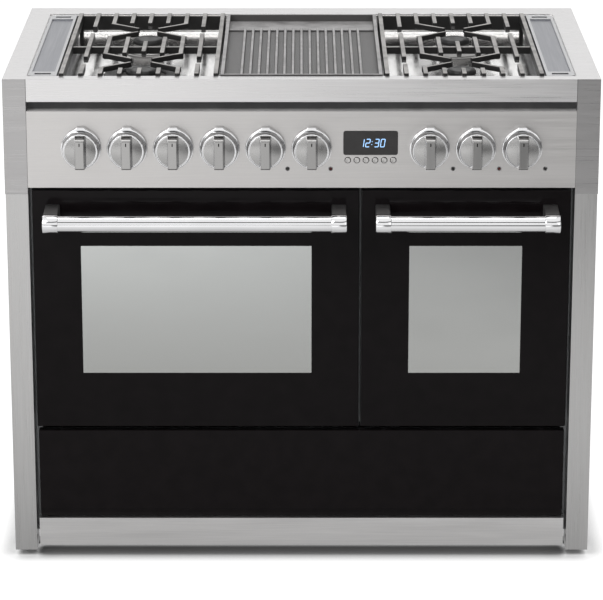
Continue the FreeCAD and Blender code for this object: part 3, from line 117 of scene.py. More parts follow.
class Finish:
    """One node material: a shader, with short names for the nodes that feed it."""

    def __init__(self, name, color, roughness, metallic=0.0, **sockets):
        self.material = bpy.data.materials.new(name)
        self.material.use_nodes = True
        self.tree = self.material.node_tree
        self.shader = self.tree.nodes["Principled BSDF"]
        self.coords = None
        self.shader.inputs["Base Color"].default_value = (*color, 1)
        self.shader.inputs["Roughness"].default_value = roughness
        self.shader.inputs["Metallic"].default_value = metallic
        for socket, value in sockets.items():
            self.shader.inputs[socket.replace("_", " ")].default_value = value

    def add(self, kind, settings=None, **inputs):
        """A node with its settings, fed by outputs or numbers."""
        node = self.tree.nodes.new(kind)
        for name, value in (settings or {}).items():
            setattr(node, name, value)
        for name, value in inputs.items():
            feed_socket(self.tree, node.inputs[name.replace("_", " ")], value)
        return node

    def place(self, stretch=(1, 1, 1)):
        """Object coordinates, stretched for grain that runs one way."""
        if self.coords is None:
            self.coords = self.add("ShaderNodeTexCoord").outputs["Object"]
        node = self.add("ShaderNodeMapping", Vector=self.coords)
        node.inputs["Scale"].default_value = stretch
        return node.outputs["Vector"]

    def along(self, axis):
        """One object coordinate."""
        return self.add("ShaderNodeSeparateXYZ", Vector=self.place()).outputs[axis]

    def facing(self, axis):
        """How far the surface looks along an axis."""
        normal = self.add("ShaderNodeNewGeometry").outputs["Normal"]
        return self.add("ShaderNodeSeparateXYZ", Vector=normal).outputs[axis]

    def noise(self, scale, detail=3.0, stretch=(1, 1, 1), distortion=0.0):
        """Noise in object coordinates; scale is in features to the metre."""
        node = self.add(
            "ShaderNodeTexNoise",
            Vector=self.place(stretch),
            Scale=scale,
            Detail=detail,
            Distortion=distortion,
        )
        return node.outputs["Fac"]

    def spread(self, value, low, high, from_low=0.35, from_high=0.65):
        """Noise, which keeps to the middle of its range, spread between two values."""
        return link_range(self.tree, value, from_low, from_high, low, high)

    def above(self, height, over=0.0):
        """0 below a height in the object's own coordinates, 1 above it, over a short rise."""
        return self.spread(self.along("Z"), 0, 1, height, height + max(over, LEAST_RISE))

    def tint(self, factor, first, second, kind="MIX"):
        """Two colours, or outputs, mixed by a factor."""
        node = self.add("ShaderNodeMix", {"data_type": "RGBA", "blend_type": kind})
        feed_socket(self.tree, node.inputs[0], factor)
        for socket, color in ((node.inputs[6], first), (node.inputs[7], second)):
            feed_socket(self.tree, socket, (*color, 1) if isinstance(color, tuple) else color)
        return node.outputs[2]

    def combine(self, operation, *values):
        """Outputs or numbers put through a math node."""
        return link_math(self.tree, operation, *values)

    def feed(self, socket, output):
        """Links an output to the shader."""
        self.tree.links.new(output, self.shader.inputs[socket])

    def bump(self, height, strength, distance=0.0002, edge=0.0):
        """Fine relief; edge rounds the sharp edges of folded sheet in the shading."""
        node = self.add("ShaderNodeBump", Height=height, Strength=strength, Distance=distance)
        if edge:
            rounded = self.add("ShaderNodeBevel", {"samples": 4}, Radius=edge)
            self.tree.links.new(rounded.outputs["Normal"], node.inputs["Normal"])
        self.feed("Normal", node.outputs["Normal"])


def cheek_mask(finish, beyond):
    """Masks of the faces to the front further from the middle than this, and of the seam there."""
    aside = finish.combine("ABSOLUTE", finish.along("X"))
    forward = finish.combine("LESS_THAN", finish.facing("Y"), FORWARD)
    outside = finish.combine("MULTIPLY", finish.combine("GREATER_THAN", aside, beyond), forward)
    seam = finish.combine("COMPARE", aside, beyond, SEAM_HALF)
    return outside, finish.combine("MULTIPLY", seam, forward)


def with_grain(grain, share):
    """A noise's stretch: drawn out along the grain."""
    return tuple(share if axis == grain else 1.0 for axis in "xyz")


def brushed(
    name, color, grain, roughness=0.3, contrast=0.10, edge=0.0007, cheek=None, sunk=None
):
    """Steel brushed along one axis: fine lines, slow cloudy variation and soft edges.

    cheek is (distance from the middle, colour beyond it): that colour is a painted shade on the
    faces to the front beyond that distance, with a darker line at the seam. sunk is (height,
    colour below it): that colour is a painted shade in a recess below that height.
    """
    finish = Finish(name, color, roughness, 1.0)
    lines = finish.noise(900, 4, with_grain(grain, LINE_STRETCH))
    streaks = finish.noise(120, 3, with_grain(grain, STREAK_STRETCH))
    cloud = finish.noise(2.5, 2)
    mixed = finish.combine(
        "ADD", finish.combine("MULTIPLY", lines, 0.6), finish.combine("MULTIPLY", streaks, 0.4)
    )
    tone = finish.tint(
        finish.spread(mixed, 0, 1), times(color, 1 - contrast), times(color, 1 + contrast)
    )
    soft = finish.tint(finish.spread(cloud, 0, 1), times(color, 0.96), times(color, 1.03))
    tone = finish.tint(0.35, tone, soft)
    # painted shade: the cheeks' faces to the front take the darker colour, unlike the rest of the
    # sheet
    if cheek:
        beyond, second = cheek
        outside, seam = cheek_mask(finish, beyond)
        tone = finish.tint(outside, tone, second)
        tone = finish.tint(seam, tone, times(second, SEAM_SHADE))
    # painted shade: below the height, a recess takes the darker colour
    if sunk:
        height, below = sunk
        tone = finish.tint(finish.above(height), below, tone)
    finish.feed("Base Color", tone)
    finish.feed("Roughness", finish.spread(mixed, roughness - 0.05, roughness + 0.08))
    finish.bump(lines, 0.10, 0.00005, edge)
    return finish.material


def polished(name, color, roughness=0.08, wear=0.05, edge=0.0):
    """Polished metal with faint wiping marks."""
    finish = Finish(name, color, roughness, 1.0)
    marks = finish.noise(160, 5, (1, 0.15, 1), 0.4)
    smudge = finish.noise(14, 4)
    wear_and_highlight = finish.combine("MULTIPLY", marks, smudge)
    finish.feed("Roughness", finish.spread(wear_and_highlight, roughness, roughness + wear, 0.15, 0.4))
    finish.feed("Base Color", finish.tint(finish.spread(smudge, 0, 1), times(color, 0.95), color))
    finish.bump(marks, 0.03, 0.00005, edge)
    return finish.material


def cast(name, color, wear_and_highlight, roughness=0.6, grain=900, relief=0.35, tops=None):
    """Cast iron: sandy grain, darker hollows and a painted highlight that makes the faces looking
    up paler.

    tops is (height, rise) of the part that takes the painted highlight; otherwise every face that
    looks up takes it.
    """
    finish = Finish(name, color, roughness, 0.25)
    sand = finish.noise(grain, 6)
    patch = finish.noise(30, 4, distortion=0.3)
    # painted highlight: faces that look up take the second colour, varied by patches
    lit_tops = finish.combine("MULTIPLY", finish.facing("Z"), finish.combine("ADD", patch, 0.35))
    lit_tops = finish.spread(lit_tops, 0, 1, 0.35, 0.95)
    if tops:
        lit_tops = finish.combine("MULTIPLY", lit_tops, finish.above(*tops))
    tone = finish.tint(lit_tops, color, wear_and_highlight)
    speck = finish.tint(finish.spread(sand, 0, 1, 0.3, 0.7), times(wear_and_highlight, 0.82), wear_and_highlight)
    finish.feed("Base Color", finish.tint(0.3, tone, speck, "MULTIPLY"))
    finish.feed("Roughness", finish.spread(sand, roughness - 0.12, roughness + 0.1))
    finish.bump(sand, relief, 0.0002, 0.0008)
    return finish.material


def enamel(name, color, roughness=0.18, speckle=0.0, specular=0.5, edge=0.0006):
    """Fired enamel: a faint orange-peel surface, with pale flecks where asked."""
    finish = Finish(name, color, roughness, Specular_IOR_Level=specular)
    peel = finish.noise(240, 3)
    dust = finish.noise(35, 4)
    finish.feed("Roughness", finish.spread(dust, roughness - 0.03, roughness + 0.07))
    if speckle:
        flecks = finish.add("ShaderNodeTexVoronoi", Vector=finish.place(), Scale=450)
        mask = finish.spread(flecks.outputs["Distance"], speckle, 0, 0.08, 0.16)
        tone = finish.tint(mask, color, FLECK)
    else:
        tone = finish.tint(finish.spread(dust, 0, 1), color, times(color, 1.25, 0.0006))
    finish.feed("Base Color", tone)
    finish.bump(peel, 0.05, 0.0001, edge)
    return finish.material


def plastic(name, color, roughness=0.45):
    """Moulded plastic or rubber with a fine grain."""
    finish = Finish(name, color, roughness)
    grain = finish.noise(1300, 4)
    finish.feed("Roughness", finish.spread(grain, roughness - 0.06, roughness + 0.08))
    finish.feed("Base Color", finish.tint(finish.spread(grain, 0, 1), times(color, 0.9), color))
    finish.bump(grain, 0.12, 0.0001)
    return finish.material


def window_glass(name, high, low):
    """Coated heat-reflecting glass: mostly mirror, with a painted reflection that gives one colour
    at the top and another at the foot.
    """
    finish = Finish(name, (0.4, 0.42, 0.4), 0.12, 0.85, Alpha=0.86)
    rise = finish.spread(finish.along("Z"), 0, 1, *WINDOW_RISE)
    haze = finish.noise(7, 3, (1, 1, 2.2))
    # painted reflection: the colour goes from the foot's to the top's between two heights
    finish.feed("Base Color", finish.tint(rise, low, high))
    finish.feed("Roughness", finish.spread(haze, 0.10, 0.22))
    finish.bump(finish.noise(60, 2), 0.01, 0.0001)
    return finish.material


def clear_glass(name):
    """Thin inner pane, a little smudged."""
    finish = Finish(name, (0.62, 0.68, 0.64), 0.04, Alpha=0.32)
    finish.feed("Roughness", finish.spread(finish.noise(18, 4), 0.03, 0.12))
    finish.bump(finish.noise(90, 2), 0.01, 0.0001)
    return finish.material


def glow(name, color, strength):
    """Lit strokes of the clock."""
    finish = Finish(
        name, (0.01, 0.02, 0.04), 0.25, Emission_Color=(*color, 1), Emission_Strength=strength
    )
    finish.bump(finish.noise(700, 2), 0.02, 0.0001)
    return finish.material


def lens(name, color):
    """Small tinted lamp lens."""
    finish = Finish(name, color, 0.2)
    cells = finish.add("ShaderNodeTexVoronoi", Vector=finish.place(), Scale=900)
    shade = finish.spread(cells.outputs["Distance"], 0, 1, 0, 0.6)
    finish.feed("Base Color", finish.tint(shade, color, times(color, 0.6)))
    finish.bump(cells.outputs["Distance"], 0.2, 0.0001)
    return finish.material


STEEL = (0.76, 0.75, 0.75)
# painted shade for the hob's two cheeks, which are the same steel as the front strip
CHEEK_PAINTED_SHADE = (0.45, 0.442, 0.442)
hob_inner_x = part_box("control_panel")[1].x
steel_across = brushed(
    "steel_brushed_across", STEEL, "x", edge=0.0014, cheek=(hob_inner_x, CHEEK_PAINTED_SHADE)
)
steel_upright = brushed("steel_brushed_upright", (0.54, 0.535, 0.53), "z")
steel_panel = brushed("steel_panel", (0.645, 0.63, 0.62), "x", 0.34, 0.07)
steel_plinth = brushed("steel_plinth", (0.70, 0.69, 0.685), "x", 0.36)
tray_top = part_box("left_side_tray")[1].z
# painted shade in the side trays' recess: darker and a little bluer than the rim
steel_tray = brushed(
    "steel_tray", (0.60, 0.60, 0.61), "y", 0.36, sunk=(tray_top - TRAY_SINK, (0.33, 0.335, 0.36))
)
steel_basin = polished("steel_basin", (0.92, 0.91, 0.90), 0.14, 0.10, 0.002)
steel_bracket = brushed("steel_bracket", (0.45, 0.45, 0.45), "z", 0.4)
steel_button = brushed("steel_button", (0.60, 0.59, 0.58), "x", 0.3, 0.05, 0.0)
galvanised = brushed("galvanised_sheet", (0.50, 0.51, 0.52), "z", 0.48, 0.18)
chrome = polished("chrome", (0.86, 0.86, 0.87), 0.05, 0.05)
bar_chrome = polished("bar_chrome", (0.86, 0.86, 0.87), 0.06, 0.04)
# a darker polished metal: painted shade and dark reflection on the knobs' tapered sides and the
# grips' right flanks
knob_painted_shade = polished("knob_painted_shade", (0.30, 0.30, 0.305), 0.12, 0.05)
satin = polished("satin_chrome", (0.46, 0.455, 0.45), 0.24, 0.08)
rack_chrome = polished("rack_chrome", (0.80, 0.80, 0.80), 0.15, 0.1)
black_glass = enamel("black_glass", (0.0078, 0.0060, 0.0066), 0.07, 0.0, 0.09, 0.0)
black_front = enamel("black_front", (0.0095, 0.0074, 0.0080), 0.16, 0.0, 0.09)
oven_enamel = enamel("oven_enamel", (0.035, 0.037, 0.042), 0.22, 0.35)
cap_enamel = enamel("cap_enamel", (0.03, 0.03, 0.03), 0.38, 0.0, 0.4)
motor_paint = enamel("motor_paint", (0.12, 0.12, 0.125), 0.45)
windows = {
    side: window_glass(f"window_glass_{side}", *tones) for side, tones in WINDOW_PAINTED_LIGHT.items()
}
pane = clear_glass("inner_pane")
# the second colour of each cast finish is its painted highlight on faces that look up
iron = cast("cast_iron", (0.028, 0.027, 0.027), (0.52, 0.505, 0.49), 0.45)
griddle_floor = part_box("griddle_plate")[1].z - GRIDDLE_SINK
# painted highlight on the rib tops; the floor between the ribs keeps the darker colour as painted
# shade
griddle_iron = cast(
    "griddle_iron", (0.115, 0.111, 0.111), (0.50, 0.49, 0.49), 0.42, 1400, 0.2,
    (griddle_floor + RIB_TOPS[0], RIB_TOPS[1]),
)
burner_alloy = cast("burner_alloy", (0.38, 0.375, 0.37), (0.68, 0.67, 0.66), 0.4, 1600, 0.2)
rod_metal = cast("rod_metal", (0.10, 0.095, 0.09), (0.18, 0.17, 0.165), 0.55, 1500, 0.15)
leg_steel = brushed("leg_steel", (0.30, 0.295, 0.295), "x", 0.42, 0.05)
door_pan = enamel("door_pan", (0.012, 0.012, 0.013), 0.38, 0.0, 0.3)
# painted shadow in the air slot over the control panel, and painted light on the sill below it
slot_painted_shadow = enamel("slot_painted_shadow", (0.12, 0.12, 0.122), 0.5, 0.0, 0.3)
sill_painted_light = enamel("sill_painted_light", (0.62, 0.61, 0.61), 0.45, 0.0, 0.3)
brass = brushed("brass", (0.58, 0.44, 0.20), "x", 0.35, 0.12)
rubber = plastic("seal_rubber", (0.03, 0.03, 0.03), 0.75)
foot_plastic = plastic("foot_plastic", (0.035, 0.035, 0.035), 0.6)
switch_plastic = plastic("switch_plastic", (0.70, 0.69, 0.64), 0.5)
clock_plastic = plastic("clock_plastic", (0.012, 0.012, 0.014), 0.35)
clock_face = enamel("clock_face", (0.048, 0.046, 0.046), 0.16, 0.0, 0.35, 0.0)
digit_glow = glow("digit_glow", (0.36, 0.62, 1.0), 1.5)
tick_black = enamel("tick_black", (0.01, 0.01, 0.01), 0.4)

CARRIED_OVER = {
    "hob_surround": steel_across,
    "control_panel": steel_panel,
    "plinth": steel_plinth,
    "left_side_panel": steel_upright,
    "right_side_panel": steel_upright,
    "hob_basin": steel_basin,
    "left_side_tray": steel_tray,
    "right_side_tray": steel_tray,
    "griddle_plate": griddle_iron,
    "drawer_front": black_front,
    "drawer_box": galvanised,
    "drawer_runners": galvanised,
    "base_frame": galvanised,
    "back_panel": galvanised,
    "oven_face_frame": galvanised,
    "left_oven_liner": oven_enamel,
    "right_oven_liner": oven_enamel,
    "left_door_frame": door_pan,
    "right_door_frame": door_pan,
    "left_inner_glass": pane,
    "right_inner_glass": pane,
    "door_seals": rubber,
    "hinge_brackets": steel_bracket,
    "side_racks": rack_chrome,
    "oven_shelves": rack_chrome,
    "heating_elements": rod_metal,
    "fan_motor": motor_paint,
    "oven_fan": steel_bracket,
    "levelling_feet": foot_plastic,
    "terminal_box": foot_plastic,
    "control_switches": switch_plastic,
    "gas_train": brass,
    "clock_module": clock_plastic,
}
for name, finish in CARRIED_OVER.items():
    NODES[name].data.materials.clear()
    NODES[name].data.materials.append(finish)


# ------------------------------------------------------------------ mesh helpers

def piece(name, mesh, finish, body, smooth=40.0):
    """Links a finished mesh as one piece that rides on a body."""
    data = bpy.data.meshes.new(name)
    bmesh.ops.recalc_face_normals(mesh, faces=mesh.faces)
    mesh.to_mesh(data)
    mesh.free()
    made = bpy.data.objects.new(name, data)
    bpy.context.scene.collection.objects.link(made)
    for one in finish if isinstance(finish, (list, tuple)) else [finish]:
        data.materials.append(one)
    data.shade_smooth()
    data.set_sharp_from_angle(angle=math.radians(smooth))
    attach(made, body)
    return made


def soften(made, width, segments=3, angle=35.0):
    """Rounds a piece's edges."""
    bevel = made.modifiers.new("edges", "BEVEL")
    bevel.width = width
    bevel.segments = segments
    bevel.limit_method = "ANGLE"
    bevel.angle_limit = math.radians(angle)
    bevel.harden_normals = False
    return made


def lathe(mesh, profile, place=Matrix.Identity(4), sides=LATHE_SIDES, index=0):
    """Adds an outline of (radius, height) turned about z and moved by a matrix."""
    rings = []
    for radius, height in profile:
        if radius <= 0:
            rings.append([mesh.verts.new(place @ Vector((0, 0, height)))])
            continue
        ring = []
        for n in range(sides):
            angle = 2 * math.pi * n / sides
            spot = Vector((radius * math.cos(angle), radius * math.sin(angle), height))
            ring.append(mesh.verts.new(place @ spot))
        rings.append(ring)
    for low, high in zip(rings, rings[1:]):
        for n in range(sides):
            k = (n + 1) % sides
            around = [low[n % len(low)], low[k % len(low)]]
            around += [high[k % len(high)], high[n % len(high)]]
            unique = list(dict.fromkeys(around))
            if len(unique) > 2:
                mesh.faces.new(unique).material_index = index
    return rings


def prism(mesh, outline, low, high, place=Matrix.Identity(4), index=0):
    """Adds a closed (a, b) outline as a slab between two heights."""
    lower = [mesh.verts.new(place @ Vector((a, b, low))) for a, b in outline]
    upper = [mesh.verts.new(place @ Vector((a, b, high))) for a, b in outline]
    faces = [mesh.faces.new(lower[::-1]), mesh.faces.new(upper)]
    for n in range(len(outline)):
        k = (n + 1) % len(outline)
        faces.append(mesh.faces.new((lower[n], lower[k], upper[k], upper[n])))
    for face in faces:
        face.material_index = index


def corners(x0, x1, z0, z1):
    """The four corners of a rectangle."""
    return [(x0, z0), (x1, z0), (x1, z1), (x0, z1)]


def slab(mesh, low, high):
    """Adds a block between two corners."""
    prism(mesh, corners(low[0], high[0], low[1], high[1]), low[2], high[2])


def loft(mesh, rings, indices=(0,)):
    """Joins rings of corners side by side and closes both ends."""
    for low, high in zip(rings, rings[1:]):
        for n in range(len(low)):
            k = (n + 1) % len(low)
            face = mesh.faces.new((low[n], low[k], high[k], high[n]))
            face.material_index = indices[n % len(indices)]
    mesh.faces.new(rings[-1])
    mesh.faces.new(rings[0][::-1])


def in_mm(points):
    """Pairs in millimetres, turned to metres."""
    return [(a * MM, b * MM) for a, b in points]


def arc(centre_a, centre_b, radius, start, end, steps):
    """Points on an arc, in degrees."""
    points = []
    for n in range(steps + 1):
        angle = math.radians(start + (end - start) * n / steps)
        points.append((centre_a + radius * math.cos(angle), centre_b + radius * math.sin(angle)))
    return points


def facing_front(x, y, z):
    """Turns a lathe so that its height runs to the front from a point."""
    return Matrix.Translation((x, y, z)) @ Matrix.Rotation(math.radians(90), 4, "X")


def along_x(start):
    """Lays a (y, z) outline so that its thickness runs to the right from a place."""
    return Matrix(((0, 0, 1, start), (1, 0, 0, 0), (0, 1, 0, 0), (0, 0, 0, 1)))


def node_copy(node, name, finish, body, edge, smooth=35.0):
    """A node's own shape with its flat faces joined and its edges rounded."""
    mesh = bmesh.new()
    mesh.from_mesh(NODES[node].data)
    bmesh.ops.remove_doubles(mesh, verts=mesh.verts, dist=1e-6)
    bmesh.ops.dissolve_limit(mesh, angle_limit=math.radians(1), verts=mesh.verts, edges=mesh.edges)
    for face in mesh.faces:
        face.material_index = 0
    made = piece(name, mesh, finish, body, smooth)
    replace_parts(made, node)
    return soften(made, edge, 2)


# ------------------------------------------------------------------ knobs

KNOB_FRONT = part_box("knob_1")[0].y
PANEL_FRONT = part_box("control_panel")[0].y
KNOB_BASE_R = 33 * MM
KNOB_FACE_R = 29 * MM
KNOB_FACE_OUT = 28 * MM
SKIRT_R = 34 * MM
SKIRT_OUT = 9 * MM
KNOB_GAP = 1 * MM
NOSE_HALF = 8 * MM
NOSE_R = 3 * MM
GRIP_BASE_W = 21 * MM
GRIP_FACE_W = 15 * MM
GRIP_LIT_AND_SHADED = (0, 2, 0, 1)  # by face: brushed ends, painted shade on the right flank, bright chrome as a painted highlight on the left flank
TICK = (1.7 * MM, 5.5 * MM, 0.4 * MM)
TICK_DOWN = 10.5 * MM  # from the face's upper edge


def teardrop(nose_top):
    """Outline of a disc that runs up into a short blunt nose."""
    reach = math.hypot(nose_top, NOSE_HALF)
    lean = math.degrees(math.atan2(NOSE_HALF, nose_top) + math.acos(min(1, SKIRT_R / reach)))
    rim = arc(0, 0, SKIRT_R, 90 + lean, 450 - lean, 60)
    nose = arc(NOSE_HALF - NOSE_R, nose_top - NOSE_R, NOSE_R, 25, 90, 5)
    nose += arc(NOSE_R - NOSE_HALF, nose_top - NOSE_R, NOSE_R, 90, 155, 5)
    return rim + nose


def knob(node):
    """Teardrop skirt, tapered body with a rounded rim and a groove, satin face, and the grip."""
    x, _, z = Vector(JOINTS[node]["pos_m"])
    mesh = bmesh.new()
    turn = facing_front(x, PANEL_FRONT, z)
    outline = teardrop(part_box(node)[1].z - z)
    levels = (
        (0, KNOB_GAP),
        (0, SKIRT_OUT - 1.6 * MM),
        (0.5 * MM, SKIRT_OUT - 0.5 * MM),
        (1.6 * MM, SKIRT_OUT),
    )
    rings = []
    for inset, out in levels:
        ring = []
        for a, b in outline:
            scale = 1 - inset / math.hypot(a, b)
            ring.append(mesh.verts.new(turn @ Vector((a * scale, b * scale, out))))
        rings.append(ring)
    loft(mesh, rings)
    face = KNOB_FACE_OUT
    r = KNOB_FACE_R
    body = [
        (KNOB_BASE_R - 2 * MM, SKIRT_OUT - 0.5 * MM),
        (KNOB_BASE_R - 0.8 * MM, SKIRT_OUT + 0.3 * MM),
        (KNOB_BASE_R - 0.6 * MM, SKIRT_OUT + 1.2 * MM),
        (r + 1.1 * MM, face - 3.2 * MM),
        (r + 0.5 * MM, face - 1.0 * MM),
        (r, face - 0.2 * MM),
        (r - 0.6 * MM, face),
        (r - 1.3 * MM, face - 0.1 * MM),
        (r - 1.7 * MM, face - 0.7 * MM),
        (r - 1.8 * MM, face - 2.2 * MM),
        (r - 2.6 * MM, face - 2.2 * MM),
    ]
    # the tapered side takes the darker metal, a painted shade and dark reflection
    lathe(mesh, body[:5], turn, index=2)
    lathe(mesh, body[4:], turn)
    plate = [
        (r - 2.6 * MM, face - 2.2 * MM),
        (r - 2.6 * MM, face - 1.2 * MM),
        (r - 3.1 * MM, face - 0.9 * MM),
        (0, face - 0.9 * MM),
    ]
    lathe(mesh, plate, turn, index=1)
    made = piece(f"{node}_body", mesh, [chrome, satin, knob_painted_shade], node)
    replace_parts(made, node)
    knob_grip(node, x, z, turn)


def knob_grip(node, x, z, turn):
    """The bar across the face: flared foot, bevelled ends and a small black tick."""
    front = PANEL_FRONT - KNOB_FRONT
    foot = KNOB_FACE_OUT - 2.5 * MM
    r = KNOB_FACE_R
    mesh = bmesh.new()
    half_foot, half_face = GRIP_BASE_W / 2, GRIP_FACE_W / 2
    # half widths and end reaches at three levels, foot to face
    levels = (
        (half_foot, -r + 1.5 * MM, r - 1.5 * MM, foot),
        (half_foot - 1.4 * MM, -r + 0.6 * MM, r - 1.2 * MM, foot + 4 * MM),
        (half_face + 0.6 * MM, -r + 1.5 * MM, r - 5.5 * MM, front - 3 * MM),
        (half_face, -r + 3.5 * MM, r - 8 * MM, front),
    )
    rings = []
    for half, low, high, out in levels:
        ring = corners(-half, half, low, high)
        rings.append([mesh.verts.new(turn @ Vector((a, b, out))) for a, b in ring])
    loft(mesh, rings, GRIP_LIT_AND_SHADED)
    made = piece(f"{node}_grip", mesh, [grip_steel, chrome, knob_painted_shade], node, 30)
    soften(made, 0.9 * MM, 3, 20)
    width, height, thick = TICK
    top = z + r - TICK_DOWN
    low = (x - width / 2, KNOB_FRONT, top - height)
    tick = bmesh.new()
    slab(tick, low, (x + width / 2, KNOB_FRONT + thick, top))
    piece(f"{node}_tick", tick, tick_black, node)


grip_steel = brushed("grip_steel", (0.37, 0.365, 0.36), "z", 0.15, 0.06, 0.0)
for node in KNOBS:
    knob(node)

# ------------------------------------------------------------------ clock, buttons and lamps

CLOCK_W = 91 * MM
CLOCK_H = 41 * MM
CLOCK_ROUND = 3 * MM
CLOCK_IN, CLOCK_OUT = 1.5 * MM, 0.8 * MM  # behind the panel's face and in front of it
CLOCK_LIFT = 8.7 * MM  # window's middle above the knobs' axis
DIGIT_H = 13.2 * MM
DIGIT_W = 6.4 * MM
STROKE = 1.4 * MM
DIGIT_STEP = 10.0 * MM
COLON_STEP = 5.0 * MM
DIGITS_LEFT = -18.8 * MM  # from the window's middle
SLANT = 0.14
STROKE_THICK = 0.15 * MM
DIGITS_SUNK = 0.05 * MM
COLON_SHARES = (0.3, 0.7)  # heights of the dots
SEGMENTS = {
    "1": "bc",
    "2": "abged",
    "3": "abgcd",
    "0": "abcdef",
}
STROKES = {  # ends of each stroke of a digit, as shares of its width and height
    "a": ((0, 1), (1, 1)),
    "b": ((1, 1), (1, 0.5)),
    "c": ((1, 0.5), (1, 0)),
    "d": ((0, 0), (1, 0)),
    "e": ((0, 0.5), (0, 0)),
    "f": ((0, 1), (0, 0.5)),
    "g": ((0, 0.5), (1, 0.5)),
}


def rounded(half_w, half_h, r, steps=8):
    """A rectangle about the origin with round corners."""
    points = []
    for side, up, start in ((1, 1, 0), (-1, 1, 90), (-1, -1, 180), (1, -1, 270)):
        points += arc(side * (half_w - r), up * (half_h - r), r, start, start + 90, steps)
    return points


def stroke(mesh, place, name):
    """One slim hexagonal bar of a digit, slanted to the right."""
    a, b = (Vector((across * DIGIT_W, up * DIGIT_H)) for across, up in STROKES[name])
    along = (b - a).normalized()
    side = Vector((-along.y, along.x)) * STROKE / 2
    a, b = a + along * STROKE * 0.45, b - along * STROKE * 0.45
    tip = along * STROKE / 2
    outline = []
    for p in (a - tip, a + side, b + side, b + tip, b - side, a - side):
        outline.append((p.x + SLANT * p.y, p.y))
    prism(mesh, outline, 0, STROKE_THICK, place)


def clock():
    """Dark window with lit digits, over the middle of the buttons."""
    middle = centre("clock_button_3").x / 2 + centre("clock_button_4").x / 2
    z = JOINTS["knob_1"]["pos_m"][2] + CLOCK_LIFT
    mesh = bmesh.new()
    turn = facing_front(middle, PANEL_FRONT, z)
    prism(mesh, rounded(CLOCK_W / 2, CLOCK_H / 2, CLOCK_ROUND), -CLOCK_IN, CLOCK_OUT, turn)
    soften(piece("clock_window", mesh, clock_face, "cooker"), 0.4 * MM, 2)
    digits = bmesh.new()
    step = 0
    for mark in "12:30":
        corner = (DIGITS_LEFT + step, -DIGIT_H / 2, CLOCK_OUT - DIGITS_SUNK)
        place = turn @ Matrix.Translation(corner)
        if mark == ":":
            for share in COLON_SHARES:
                low = share * DIGIT_H
                dot = [(a + SLANT * low, b + low) for a, b in arc(0, 0, STROKE * 0.55, 0, 330, 11)]
                prism(digits, dot, 0, STROKE_THICK, place)
            step += COLON_STEP
            continue
        for name in SEGMENTS[mark]:
            stroke(digits, place, name)
        step += DIGIT_STEP
    piece("clock_digits", digits, digit_glow, "cooker")


def button(node):
    """A round button with a rolled edge and a slightly sunk face."""
    low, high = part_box(node)
    mesh = bmesh.new()
    radius = (high.x - low.x) / 2
    out = PANEL_FRONT - low.y
    foot = PANEL_FRONT - high.y
    profile = [
        (0, foot),
        (radius - 0.1 * MM, foot),
        (radius - 0.1 * MM, out - 0.9 * MM),
        (radius - 0.35 * MM, out - 0.3 * MM),
        (radius - 0.9 * MM, out),
        (radius - 1.6 * MM, out - 0.05 * MM),
        (0, out - 0.35 * MM),
    ]
    middle = centre(node)
    lathe(mesh, profile, facing_front(middle.x, PANEL_FRONT, middle.z), 48)
    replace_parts(piece(f"{node}_cap", mesh, steel_button, node), node)


LAMPS = (  # tint, and place to the right of knobs 5 to 9
    ((0.03, 0.03, 0.03), 36.9 * MM),
    ((0.16, 0.012, 0.012), 32.0 * MM),
    ((0.02, 0.02, 0.02), 39.8 * MM),
    ((0.20, 0.02, 0.015), 39.9 * MM),
    ((0.05, 0.045, 0.045), 40.0 * MM),
)
LAMP_COLLAR = in_mm(
    [(2.5, 0.3), (2.7, 1.0), (3.1, 1.2), (3.6, 0.9), (4.0, 0.0), (3.2, 0.0), (3.1, -10), (0, -10)]
)
LAMP_DOME = in_mm([(2.6, 0.3), (2.5, 1.1), (2.0, 1.7), (1.2, 2.1), (0, 2.2)])


def lamps():
    """Five lenses in thin chrome collars."""
    low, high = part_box("indicator_lamps")
    z = (low.z + high.z) / 2
    for n, (tint, aside) in enumerate(LAMPS, 1):
        x = JOINTS[f"knob_{n + 4}"]["pos_m"][0] + aside
        turn = facing_front(x, PANEL_FRONT, z)
        mesh = bmesh.new()
        lathe(mesh, LAMP_COLLAR, turn, 40)
        lathe(mesh, LAMP_DOME, turn, 40, 1)
        tinted = lens(f"lamp_tint_{n}", tint)
        made = piece(f"lamp_{n}", mesh, [satin, tinted], "cooker")
        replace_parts(made, "indicator_lamps")


clock()
for node in BUTTONS:
    button(node)
lamps()

# ------------------------------------------------------------------ doors

WINDOW_SIDE = 80 * MM
WINDOW_END = 97 * MM
BAR_R = 14 * MM
CAP_R = 16 * MM
CAP_W = 26 * MM
GLASS_EDGE = 0.8 * MM
LEG_IN = 0.8 * MM  # from the cap's ends


def door_front(side):
    """Black enamelled glass round a coated window."""
    node = f"{side}_door_glass"
    low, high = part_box(node)
    x0, x1 = low.x + WINDOW_SIDE, high.x - WINDOW_SIDE
    z0, z1 = low.z + WINDOW_END, high.z - WINDOW_END
    mesh = bmesh.new()
    thick = high.y - low.y
    turn = facing_front(0, low.y + thick, 0)
    outer = [
        corners(low.x + inset, high.x - inset, low.z + inset, high.z - inset)
        for inset in (0, 0, GLASS_EDGE)
    ]
    inner = corners(x0, x1, z0, z1)
    levels = [*zip(outer, (0, thick - GLASS_EDGE, thick)), (inner, thick), (inner, 0)]
    rings = [[mesh.verts.new(turn @ Vector((a, b, out))) for a, b in ring] for ring, out in levels]
    for first, second in zip(rings, rings[1:] + rings[:1]):
        for n in range(4):
            k = (n + 1) % 4
            mesh.faces.new((first[n], first[k], second[k], second[n]))
    border = piece(f"{side}_glass_border", mesh, black_glass, f"{side}_door", 20)
    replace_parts(border, node)
    mesh = bmesh.new()
    slab(mesh, (x0, low.y, z0), (x1, low.y + thick / 2, z1))
    shown = piece(f"{side}_glass_window", mesh, windows[side], f"{side}_door", 20)
    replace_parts(shown, node)


